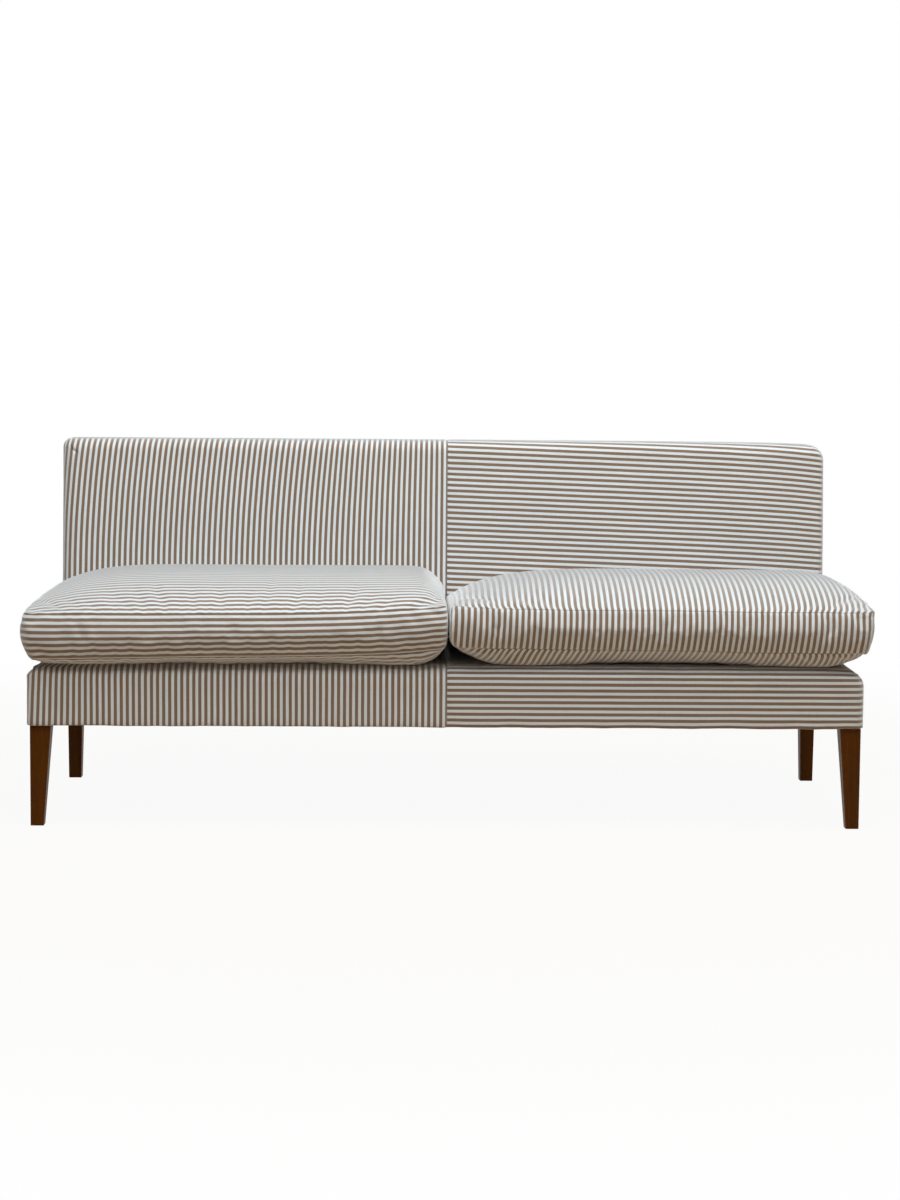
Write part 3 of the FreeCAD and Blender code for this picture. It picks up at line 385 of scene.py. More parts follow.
def webbing_finish(sizes, colours):
    """Jute webbing."""
    return jute_finish("webbing", colours, pitch=2.2 * MM, line=0.35)


def hessian_finish(sizes, colours):
    """Open hessian."""
    return jute_finish("hessian", colours, pitch=1.8 * MM, line=0.0)


def foam_finish(sizes, colours):
    """Open-celled foam."""
    finish = Finish("foam", specular_ior_level=0.1)
    cells = finish.node("ShaderNodeTexVoronoi", {}, {"Vector": finish.spot(), "Scale": 700.0})
    clouds = finish.cloudy(finish.spot(), (8, 8, 8), detail=3)
    tint = finish.shade(colours.foam, 0.75 + 0.25 * cells + 0.2 * clouds)
    return finish.done(tint, 0.9 + 0.05 * clouds, finish.raised(cells, 0.5 * MM))


def wadding_finish(sizes, colours):
    """Fluffy fibre wadding."""
    finish = Finish("wadding", sheen_weight=0.4, specular_ior_level=0.1)
    fibres = finish.cloudy(finish.spot(), (260, 260, 260), detail=6, roughness=0.7, distortion=2.0)
    tint = finish.shade(colours.wadding, 0.8 + 0.3 * fibres)
    return finish.done(tint, 0.9 + 0.05 * fibres, finish.raised(fibres, 1.0 * MM))


def pad_finish(sizes, colours):
    """Close cotton around the cushions' filling."""
    finish = Finish("cushion_pad", sheen_weight=0.15, specular_ior_level=0.15)
    place = finish.cloth()
    height, weft_on_top = plain_weave(finish, finish.part(place, 0), finish.part(place, 1), 0.5 * MM)
    clouds = finish.cloudy(place, (30, 30, 1), detail=4)
    tint = finish.shade(colours.pad_cotton, 0.85 + 0.2 * clouds - 0.06 * weft_on_top)
    return finish.done(tint, 0.85 + 0.1 * clouds, finish.raised(height, 0.1 * MM, 0.5))


def dust_finish(sizes, colours):
    """Black bonded cloth with its pressed dots."""
    finish = Finish("dust_cloth", specular_ior_level=0.2)
    spot = finish.spot()
    dots = finish.node("ShaderNodeTexVoronoi", {}, {"Vector": spot, "Scale": 600.0, "Randomness": 0.15})
    fibres = finish.cloudy(spot, (350, 350, 350), detail=5, distortion=1.5)
    tint = finish.shade(colours.dust_cloth, 0.6 + 0.9 * fibres)
    return finish.done(tint, 0.78 + 0.15 * fibres, finish.raised(dots + fibres, 0.25 * MM))


def tape_finish(sizes, colours):
    """Herringbone zip tape, and the zip's moulded teeth."""
    finish = Finish("zip_tape", specular_ior_level=0.3)
    spot = finish.spot()
    along = finish.part(spot, 0)
    upward = finish.part(spot, 2)
    folded = (upward / (3.0 * MM)).swing(0.5)
    twill = ((along / (0.9 * MM) + folded * 2.0) * (2 * math.pi)).sine()
    fibres = finish.cloudy(spot, (900, 900, 900), detail=3)
    tint = finish.shade(colours.zip_tape, 0.85 + 0.12 * twill + 0.15 * fibres)
    return finish.done(tint, 0.6 + 0.2 * fibres, finish.raised(twill, 0.1 * MM, 0.6))


def thread_finish(sizes, colours):
    """Twisted sewing thread."""
    finish = Finish("sewing_thread", sheen_weight=0.2, specular_ior_level=0.3)
    spot = finish.spot()
    slanted = finish.part(spot, 0) + finish.part(spot, 1) + finish.part(spot, 2)
    twist = (slanted * (2 * math.pi / (0.9 * MM))).sine()
    tint = finish.shade(colours.thread, 0.88 + 0.12 * twist)
    return finish.done(tint, 0.6 + 0.1 * twist, finish.raised(twist, 0.05 * MM))


FINISHES = {
    "ticking": ticking_finish,
    "stained_leg": leg_finish,
    "frame_wood": beech_finish,
    "tenon_wood": beech_finish,
    "screw_steel": steel_finish,
    "webbing": webbing_finish,
    "hessian": hessian_finish,
    "foam": foam_finish,
    "wadding": wadding_finish,
    "cushion_pad": pad_finish,
    "dust_cloth": dust_finish,
    "zip_tape": tape_finish,
    "zip_metal": brass_finish,
    "sewing_thread": thread_finish,
}
made_finishes = {}


def finish_for(scene, slot):
    """The material of a slot, made when it is first wanted."""
    maker = FINISHES[slot]
    if maker not in made_finishes:
        made_finishes[maker] = maker(scene.banquette_sizes, scene.banquette_colours)
    return made_finishes[maker]


# Cutting and sewing


class Panel:
    """A grid of points with their places on the flat cloth, and how far each is from a seam."""

    def __init__(self, points, cloth, from_seam, run=None):
        self.points = np.asarray(points, float)
        self.cloth = np.asarray(cloth, float)
        self.from_seam = np.broadcast_to(from_seam, self.points.shape[:2])
        self.run = np.broadcast_to(0.0 if run is None else run, self.points.shape[:2])


def add_panel(mesh, panel):
    """Adds one panel's faces to a mesh."""
    place = mesh.loops.layers.uv.verify()
    from_seam = mesh.verts.layers.float["from_seam"]
    run = mesh.verts.layers.float["run"]
    rows, columns = panel.points.shape[:2]
    grid = {}
    for row in range(rows):
        for column in range(columns):
            vertex = mesh.verts.new(panel.points[row, column])
            vertex[from_seam] = panel.from_seam[row, column]
            vertex[run] = panel.run[row, column]
            grid[row, column] = vertex
    for row in range(rows - 1):
        for column in range(columns - 1):
            corners = ((row, column), (row, column + 1), (row + 1, column + 1), (row + 1, column))
            face = mesh.faces.new([grid[corner] for corner in corners])
            face.smooth = True
            for loop, corner in zip(face.loops, corners):
                loop[place].uv = panel.cloth[corner]


def sew(name, panels, inside):
    """One mesh from panels that meet at their edges, facing away from a point inside."""
    mesh = bmesh.new()
    mesh.loops.layers.uv.new("cloth")
    mesh.verts.layers.float.new("from_seam")
    mesh.verts.layers.float.new("run")
    for panel in panels:
        add_panel(mesh, panel)
    bmesh.ops.remove_doubles(mesh, verts=mesh.verts, dist=0.02 * MM)
    bmesh.ops.dissolve_degenerate(mesh, dist=0.005 * MM, edges=mesh.edges)
    bmesh.ops.recalc_face_normals(mesh, faces=mesh.faces)
    outward = sum(face.normal.dot(face.calc_center_median() - Vector(inside)) for face in mesh.faces)
    if outward < 0:
        bmesh.ops.reverse_faces(mesh, faces=mesh.faces)
    data = bpy.data.meshes.new(name)
    mesh.to_mesh(data)
    mesh.free()
    return data


def add_piece(scene, name, data, slot, body, stands_for=()):
    """A finished piece in the scene, on its body and with its finish."""
    piece = bpy.data.objects.new(name, data)
    scene.collection.objects.link(piece)
    data.materials.clear()
    data.materials.append(finish_for(scene, slot))
    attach(piece, body)
    if stands_for:
        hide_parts(*stands_for)
    return piece


def add_sewn(scene, name, panels, inside, slot, body, node):
    """A piece sewn from panels, in place of a node."""
    return add_piece(scene, name, sew(name, panels, inside), slot, body, [node])


def thicken(piece, thickness):
    """Gives a single layer its thickness, inwards."""
    wall = piece.modifiers.new("thickness", "SOLIDIFY")
    wall.thickness = thickness
    wall.offset = -1


def subdivide(piece):
    """Rounds a piece off by one level."""
    smooth = piece.modifiers.new("rounding", "SUBSURF")
    smooth.levels = 1
    smooth.render_levels = 1


def grid_of(rows, columns, spot):
    """A grid of points, one for each row and column."""
    return np.array([[spot(row, column) for column in columns] for row in rows], float)


def ripple(first, second, seed):
    """Smooth noise from about -1 to 1."""
    return noise.noise(Vector((first, second, seed)))


def rounded_rise(distance, reach, fullness=2.5):
    """Climbs from 0 at an edge to 1 at its reach."""
    share = np.clip(distance / reach, 0, 1)
    return 1 - (1 - share) ** fullness


def read_points(data, name):
    """The places or normals of a mesh's points."""
    values = np.zeros(len(data.vertices) * 3)
    data.vertices.foreach_get(name, values)
    return values.reshape(-1, 3)


def read_attribute(data, name):
    """A named value of each point."""
    values = np.zeros(len(data.vertices))
    data.attributes[name].data.foreach_get("value", values)
    return values


def write_points(data, points):
    """Moves a mesh's points."""
    data.vertices.foreach_set("co", np.asarray(points, float).ravel())
    data.update()


# Cloth pulled over a block


class Wrap:
    """Cloth over one half of a block: along its main edge, round a corner and down its end."""

    corner_steps = 7
    even_from = 200 * MM
    near_seam = [0.15 * MM, 1.6 * MM, 3.6 * MM, 7 * MM, 13 * MM]

    def __init__(self, length, run, corner):
        self.length = length
        self.run = run
        self.corner = corner
        step = 11 * MM
        spaced = np.linspace(self.near_seam[-1], length - corner, round(length / step))
        self.main = [("main", length - across) for across in self.near_seam[:-1] + list(spaced)]
        turns = np.linspace(0, math.pi / 2, self.corner_steps + 1)[1:-1]
        self.turn = [("corner", angle) for angle in turns]

    def end(self, stops, step):
        """The columns down the end, with one at each stop."""
        marks = [self.corner, *stops, self.run]
        columns = [self.corner]
        for low, high in zip(marks, marks[1:]):
            columns += list(np.linspace(low, high, max(round((high - low) / step), 1) + 1)[1:])
        return [("end", distance) for distance in columns]

    def spread(self, distance, inset):
        """A distance from the outline's corner, drawn in with the inset near the corner."""
        nearest = max(self.corner, inset)
        if distance >= self.even_from:
            return distance
        share = (distance - self.corner) / (self.even_from - self.corner)
        return nearest + share * (self.even_from - nearest)

    def spot(self, column, inset):
        """Where a column stands at an inset: how far from the centre seam, and from the main edge."""
        kind, where = column
        nearest = max(self.corner, inset)
        radius = max(self.corner - inset, 0)
        if kind == "main":
            return self.length - self.spread(where, inset), inset
        if kind == "corner":
            return self.length - nearest + radius * math.sin(where), nearest - radius * math.cos(where)
        return self.length - inset, self.spread(where, inset)

    def turned(self, column):
        """The way a column faces: 0 along the main edge, and a right angle down the end."""
        kind, where = column
        return {"main": 0.0, "end": math.pi / 2}.get(kind, where)

    def travel(self, column):
        """How far along the outline a column stands from the centre seam."""
        kind, where = column
        if kind == "main":
            return self.length - where
        if kind == "corner":
            return self.length - self.corner + self.corner * where
        return self.length - self.corner + self.corner * math.pi / 2 + where - self.corner


def edge_profile(bottom, top, wide, high, rim, turned, cut, flatness=1.0):
    """(inset, height) points from the turned-under hem up the wall, over the rounded edge and in to the rim.

    The last wall point below the rounding is at the cut, or just under the rounding where that is lower.
    A flatness of 1 is a round edge, and 2 a straight slope."""
    tight = 4 * MM
    points = [(turned, bottom + 2.2 * MM), (turned / 2, bottom + 1.2 * MM), (tight * 1.6, bottom + 0.2 * MM)]
    for angle in np.linspace(1.5 * math.pi, math.pi, 4):
        points.append((tight + tight * math.cos(angle), bottom + tight + tight * math.sin(angle)))
    shoulder = min(cut, top - high - 2 * MM)
    for level in np.linspace(bottom + tight, shoulder, 9)[1:]:
        points.append((0.0, level))
    cut_row = len(points) - 1
    for angle in np.linspace(0, math.pi / 2, 10):
        inward = wide - wide * max(math.cos(angle), 0) ** flatness
        points.append((inward, top - high + high * math.sin(angle) ** flatness))
    for inset in np.linspace(wide, rim, 3)[1:]:
        points.append((inset, top))
    return np.array(points), cut_row


def outward_normals(points):
    """The outward direction at each point of a profile, as (against the inset, upwards)."""
    along = np.gradient(points, axis=0)
    normals = np.stack([along[:, 1], along[:, 0]], axis=1)
    return normals / np.linalg.norm(normals, axis=1, keepdims=True)


def lengths_along(points):
    """How far along a line of points each one is."""
    steps = np.linalg.norm(np.diff(points, axis=0), axis=1)
    return np.concatenate([[0], np.cumsum(steps)])


class CoverHalf:
    """What a half of the seat's cover and a half of the back's have in common."""

    # How far in the edge ends and the flat begins, and how many of the edge's rows are level there
    rim = 64 * MM
    level_rows = 3
    seam_width = 3.2 * MM

    def __init__(self, sizes, side, first_seed):
        self.sizes = sizes
        self.sign = SIDES[side]
        self.seed = first_seed + self.sign

    def dip(self, from_centre):
        """How far the centre seam pulls the cloth in."""
        return self.sizes.seam_depth * math.exp(-((from_centre / self.seam_width) ** 1.4))

    def stand_out(self, points, column, seed):
        """How far each point of a profile stands out: in at the seam, then uneven, and level at the rim."""
        travel = self.wrap.travel(column)
        along, upward = self.swellings
        out = np.zeros(len(points))
        for row in range(len(points) - self.level_rows):
            out[row] = self.unevenness * ripple(travel / along, points[row, 1] / upward, seed)
        return out - self.dip(travel) if column[0] == "main" else out


class SeatHalf(CoverHalf):
    """One half of the seat's cover."""

    # The room left between this cover and the back's
    play = 0.25 * MM

    # How far the hem is turned under, and how far up its wave is felt
    turned_under = 24 * MM
    hem_reach = 45 * MM

    # The end's rounding grows over the first length along the front, then lasts and fades down the end
    near_corner = 110 * MM
    full_along_end = 150 * MM
    fading_along_end = 200 * MM

    # How flat the left end's edge is, where 1 is round
    left_flatness = 1.45

    # How uneven the padding is, and how far apart its swellings are along the edge and up it
    unevenness = 0.9 * MM
    swellings = (0.11, 0.05)

    def __init__(self, sizes, side, wide, high, corner):
        super().__init__(sizes, side, 3.0)
        low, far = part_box("seat_cover_right")
        back_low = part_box("back_cover_right")[0]
        self.front = low.y
        self.hem = low.z
        self.top = far.z
        self.cut = back_low.z - self.play
        self.deck_end = back_low.y - self.play - low.y
        self.wide = wide
        self.high = high
        self.wrap = Wrap(far.x, far.y - low.y, corner)
        self.columns = self.wrap.main + self.wrap.turn + self.wrap.end([self.deck_end], 15 * MM)

    def edge(self, column):
        """Width and height of the top rounding at a column, which grows towards the end's front corner."""
        kind, where = column
        plain = self.sizes.seat_edge
        if kind == "main":
            share = 1 - min(where / self.near_corner, 1)
        elif kind == "corner":
            share = 1.0
        else:
            share = 1 - min(max(where - self.full_along_end, 0) / self.fading_along_end, 1)
        share = share * share * (3 - 2 * share)
        return plain + (self.wide - plain) * share, plain + (self.high - plain) * share

    def profile(self, column):
        """The soft profile at a column, how far along it each point is, and the row at the back's cut."""
        kind, where = column
        flatness = self.left_flatness if self.sign < 0 and kind != "main" else 1.0
        points, cut_row = edge_profile(
            self.hem, self.top, *self.edge(column), self.rim, self.turned_under, self.cut, flatness
        )
        climb = lengths_along(points)
        normals = outward_normals(points)
        out = self.stand_out(points, column, self.seed + 2)
        travel = self.wrap.travel(column)
        wave = ripple(travel / 0.09, 0.3, self.seed) + 0.5 * ripple(travel / 0.03, 0.7, self.seed)
        near_hem = np.maximum(1 - (points[:, 1] - self.hem) / self.hem_reach, 0)
        points[:, 0] -= out * normals[:, 0]
        points[:, 1] += out * normals[:, 1] + self.sizes.hem_wave * wave * near_hem**2
        if kind == "corner":
            self.pleat(points, where)
        return points, climb, cut_row

    def pleat(self, points, angle):
        """A small fold where the cloth is gathered over the corner."""
        fold_depth = 3.0 * MM
        fold_angle = 0.28
        depth = fold_depth * math.exp(-(((angle - math.pi / 4) / fold_angle) ** 2))
        above = np.maximum(points[:, 1] - (self.top - self.high), 0) / self.high
        off_the_rim = points[:, 0] < self.rim - 1 * MM
        points[:, 0] += depth * np.minimum(above * 2, 1) * off_the_rim

    def place(self, from_centre, from_front, level):
        """A point of this half in the room."""
        return self.sign * from_centre, self.front + from_front, level

    def panels(self):
        """The front, corner and end in one sweep, and the deck."""
        profiles, climbs, cut_rows = zip(*[self.profile(column) for column in self.columns])
        shape = np.array(profiles)
        climb = np.array(climbs)
        cut_row = cut_rows[0]
        rows = shape.shape[1]
        travel = np.array([self.wrap.travel(column) for column in self.columns])
        spots = np.zeros((len(self.columns), rows, 3))
        for index, column in enumerate(self.columns):
            for row in range(rows):
                inset, level = shape[index, row]
                spots[index, row] = self.place(*self.wrap.spot(column, max(inset, 0)), level)
                if inset < 0:
                    spots[index, row] += self.lean(column, -inset)
        cloth = self.cloth_places(travel[:, None] + np.zeros_like(climb), climb)
        from_seam = np.broadcast_to(travel[:, None], climb.shape)
        behind = 1 + self.columns.index(("end", self.deck_end))
        front = Panel(spots[:behind], cloth[:behind], from_seam[:behind])
        below = (slice(behind - 1, None), slice(0, cut_row + 1))
        rear = Panel(spots[below], cloth[below], from_seam[below])
        above = (behind - 1, slice(cut_row, None))
        tucked = self.tuck(spots[above], cloth[above], from_seam[above])
        return [front, rear, tucked, self.deck(climb[0, -1])]

    def tuck(self, edge, cloth, from_seam):
        """The edge of the rounding beside the back, turned down under the back's cover."""
        turned = edge + np.array((-3 * MM * self.sign, 13 * MM, -6 * MM))
        return Panel(np.stack([edge, turned]), np.stack([cloth, cloth]), np.stack([from_seam, from_seam]))

    def lean(self, column, distance):
        """A move straight out from the outline at a column."""
        angle = self.wrap.turned(column)
        return np.array((self.sign * math.sin(angle) * distance, -math.cos(angle) * distance, 0))

    def cloth_places(self, travel, climb):
        """Places on the flat cloth: stripes stand upright on the left half and lie level on the right."""
        if self.sign < 0:
            slant = 0.05
            reach = 0.15
            pull = slant * np.clip(1 - np.abs(travel - self.wrap.length) / reach, 0, 1)
            return np.stack([travel + pull * climb, climb], axis=-1)
        return np.stack([climb, travel], axis=-1)

    def deck(self, climb):
        """The flat top under the cushions, with its rear edge tucked down against the back."""
        across = [self.wrap.spot(column, self.rim)[0] for column in self.wrap.main]
        inward = [self.wrap.spot(column, self.rim)[1] for column in self.columns if column[0] == "end"]
        inward = [distance for distance in inward if distance <= self.deck_end + 0.01 * MM]
        if self.wrap.length - self.rim - across[-1] > 0.01 * MM:
            across.append(self.wrap.length - self.rim)
        tucked = [(inward[-1], depth) for depth in (9 * MM, 24 * MM)]
        levels = [(distance, 0.0) for distance in inward] + tucked
        spots = np.zeros((len(levels), len(across), 3))
        cloth = np.zeros((len(levels), len(across), 2))
        for row, (distance, tuck) in enumerate(levels):
            run = climb + distance - self.rim + tuck
            for column, from_centre in enumerate(across):
                level = self.top - self.dip(from_centre) - tuck
                spots[row, column] = self.place(from_centre, distance, level)
                cloth[row, column] = self.cloth_places(np.array(from_centre), np.array(run))
        return Panel(spots, cloth, np.broadcast_to(np.array(across), (len(levels), len(across))))


class BackHalf(CoverHalf):
    """One half of the back's cover; its ends are (depth of the rounding, corner seen from the front)."""

    ends = {"left": (34 * MM, 20 * MM), "right": (16 * MM, 34 * MM)}

    # How far the centre seam stands to the right of the middle
    seam_drift = 7 * MM

    # How thick the back is taken to be, how far its rear edge is turned in, and how full its face is
    depth = 120 * MM
    turned_in = 20 * MM
    fullness = 3 * MM

    # How uneven the padding is round the edge, and how far apart its swellings are along the edge and over it
    unevenness = 0.8 * MM
    swellings = (0.13, 0.06)

    # The rounding of an end narrows to this at its foot, over this height
    foot_edge = 8 * MM
    narrowing = 70 * MM

    def __init__(self, sizes, side):
        super().__init__(sizes, side, 11.0)
        low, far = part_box("back_cover_right")
        self.low = low
        self.far = far
        self.rake = BACK_LEAN / (far.z - low.z)
        self.wide, corner = self.ends[side]
        self.wrap = Wrap(far.x, far.z - low.z, corner)
        self.columns = self.wrap.main + self.wrap.turn + self.wrap.end([], 14 * MM)

    def bulge(self, from_centre, from_top):
        """How far the padded face stands forward at a place."""
        from_edge = max(min(self.wrap.length - from_centre, from_top) - self.rim, 0)
        full_from = 90 * MM
        soft_from = 60 * MM
        softness = 1.2 * MM
        full = 1 - math.exp(-from_edge / full_from)
        soft = softness * ripple(from_centre / 0.22, from_top / 0.17, self.seed)
        return self.fullness * full + soft * min(from_edge / soft_from, 1) - self.dip(from_centre)

    def face(self, height):
        """How far back the face is at a height."""
        return self.low.y + (height - self.low.z) * self.rake

    def place(self, from_centre, from_top, lift):
        """A point of this half in the room; the lift is measured forwards from the rear."""
        height = self.far.z - from_top - self.sink(from_centre, from_top)
        face = self.face(height)
        edge = self.depth - self.sizes.back_edge
        if lift <= edge:
            depth = self.far.y - lift / edge * (self.far.y - face - self.sizes.back_edge)
        else:
            depth = face + self.depth - lift
        drift = self.seam_drift * (1 - from_centre / self.wrap.length)
        return self.sign * from_centre + drift, depth, height

    def sink(self, from_centre, from_top):
        """How far the right half's top sinks towards its end."""
        reach = 0.3
        share = from_centre / self.wrap.length
        most = (2 * share**2 + 5 * share**12) * MM if self.sign > 0 else 0.0
        return most * max(1 - from_top / reach, 0)

    def edge(self, column):
        """Depth of the face's rounded edge at a column, which narrows down the end to the seat."""
        kind, where = column
        if kind == "main":
            return self.sizes.back_edge
        if kind == "corner":
            return self.wide
        above_foot = min((self.wrap.run - where) / self.narrowing, 1)
        return self.foot_edge + (self.wide - self.foot_edge) * above_foot

    def outline_top(self, from_end):
        """The height of the half's outline at a distance from its end."""
        corner = self.wrap.corner
        short = max(corner - from_end, 0)
        rounded = corner - math.sqrt(max(corner**2 - short**2, 0))
        return self.far.z - rounded - self.sink(self.wrap.length - from_end, 0.0)

    def profile(self, column):
        """From the turned-in rear edge over the top or end to the face."""
        edge = (self.edge(column), self.sizes.back_edge)
        points = edge_profile(0.0, self.depth, *edge, self.rim, self.turned_in, self.depth / 2)[0]
        normals = outward_normals(points)
        out = self.stand_out(points, column, self.seed + 5)
        points[:, 0] = np.maximum(points[:, 0] - out * normals[:, 0], 0)
        points[:, 1] += out * normals[:, 1]
        return points

    def panels(self):
        """The top with half of the corner, the end with the other half, and the face."""
        profiles = [self.profile(column) for column in self.columns]
        shape = np.array(profiles)
        rows = shape.shape[1]
        spots = np.zeros((len(self.columns), rows, 3))
        from_centre = np.zeros((len(self.columns), rows))
        from_top = np.zeros((len(self.columns), rows))
        for index, column in enumerate(self.columns):
            for row in range(rows):
                inset, lift = shape[index, row]
                from_centre[index, row], from_top[index, row] = self.wrap.spot(column, inset)
                spots[index, row] = self.place(from_centre[index, row], from_top[index, row], lift)
        behind = np.array([lengths_along(points)[-1] - lengths_along(points) for points in profiles])
        over = behind - (self.rim - shape[..., 0])
        turned = np.array([self.wrap.turned(column) for column in self.columns])[:, None]
        along = from_centre + over * np.sin(turned)
        down = from_top - over * np.cos(turned)
        cloth = self.cloth_places(along, down)
        middle = len(self.wrap.main) + len(self.wrap.turn) // 2
        top = slice(0, middle + 1)
        end = slice(middle, len(self.columns))
        over_top = Panel(spots[top], cloth[top], from_centre[top])
        if self.sign < 0:
            return [over_top, Panel(spots[end], cloth[end], from_centre[end]), self.front()]
        split = rows - 8
        seam = behind[end, split]
        outer = (end, slice(0, split + 1))
        inner = (end, slice(split, rows))
        upright = np.stack([along, down], axis=-1)
        return [
            over_top,
            Panel(spots[outer], upright[outer], self.seam_reach(behind[outer], seam)),
            Panel(spots[inner], cloth[inner], self.seam_reach(behind[inner], seam)),
            self.front(),
        ]

    def seam_reach(self, behind, seam):
        """How far each point is from the seam between the face and the end panel."""
        return np.abs(behind - np.reshape(seam, (-1, 1)))

    def cloth_places(self, from_centre, from_top):
        """Places on the flat cloth: stripes stand upright on the left half and lie level on the right.

        Those on the left lean over near the top, and those on the right fall towards the end."""
        if self.sign < 0:
            most_lean = 20 * MM
            near_top = np.clip(1 - np.maximum(from_top, 0) / 0.32, 0, 1)
            off_centre = np.clip(from_centre / 0.3, 0, 1)
            return np.stack([from_centre + most_lean * near_top**2 * off_centre, from_top], axis=-1)
        fall = 0.035 * from_centre + 6 * MM * (from_centre / self.wrap.length) ** 6
        return np.stack([from_top - fall, from_centre], axis=-1)

    def front(self):
        """The face."""
        across = [self.wrap.spot(column, self.rim)[0] for column in self.wrap.main]
        down = [self.wrap.spot(column, self.rim)[1] for column in self.columns if column[0] == "end"]

        def spot(from_top, from_centre):
            return self.place(from_centre, from_top, self.depth + self.bulge(from_centre, from_top))

        spots = grid_of(down, across, spot)
        cloth = self.cloth_places(*np.meshgrid(np.array(across), np.array(down)))
        return Panel(spots, cloth, np.broadcast_to(np.array(across), (len(down), len(across))))


# Loose cushions


class Settled:
    """How a cushion's filling lies, at its outer end and then at its inner one.

    Rises and unders are (reach, fullness) of the crown and the underside. Bulges and tucks are how far the
    strip stands out and the underside draws in, and arches how far the upper seam is pushed up between its
    corners. The skew slants the stripes underneath."""

    def __init__(
        self,
        rises,
        unders,
        bulges,
        tucks,
        arches=(0.0, 0.0),
        rear_droop=0.0,
        crest_drop=0.0,
        seams=(None, None),
        skew=0.0,
    ):
        self.rises = rises
        self.unders = unders
        self.outer_bulge, self.inner_bulge = bulges
        self.outer_tuck, self.inner_tuck = tucks
        self.outer_arch, self.inner_arch = arches
        self.rear_droop = rear_droop
        self.crest_drop = crest_drop
        self.upper_seam, self.lower_seam = seams
        self.skew = skew


def slope(outer, sag, lift, sharpness):
    """A seam's height from the outer end to the inner one, where it turns up."""
    return lambda share: outer + sag * share + lift * share**sharpness


SETTLED = {
    "left": Settled(
        rises=((450 * MM, 5.5), (85 * MM, 3.6)),
        unders=((75 * MM, 2.5), (80 * MM, 3.0)),
        bulges=(8 * MM, 0.0),
        tucks=(12 * MM, 3 * MM),
        arches=(8 * MM, 6 * MM),
        seams=(slope(-14 * MM, 0, 19 * MM, 4), slope(-25 * MM, 14 * MM, 12 * MM, 8)),
    ),
    "right": Settled(
        rises=((170 * MM, 4.0), (310 * MM, 2.3)),
        unders=((125 * MM, 2.3), (260 * MM, 4.0)),
        bulges=(1 * MM, 12 * MM),
        tucks=(10 * MM, 2 * MM),
        arches=(13 * MM, 0.0),
        rear_droop=24 * MM,
        crest_drop=5 * MM,
        seams=(slope(-3 * MM, 4 * MM, 7 * MM, 12), slope(-4 * MM, 9 * MM, -1 * MM, 10)),
        skew=0.35,
    ),
}
SOFT_EDGE = (60 * MM, 2.5)
PLAIN_SLAB = Settled(
    rises=(SOFT_EDGE, SOFT_EDGE),
    unders=(SOFT_EDGE, SOFT_EDGE),
    bulges=(1.5 * MM, 8 * MM),
    tucks=(1 * MM, 1 * MM),
)


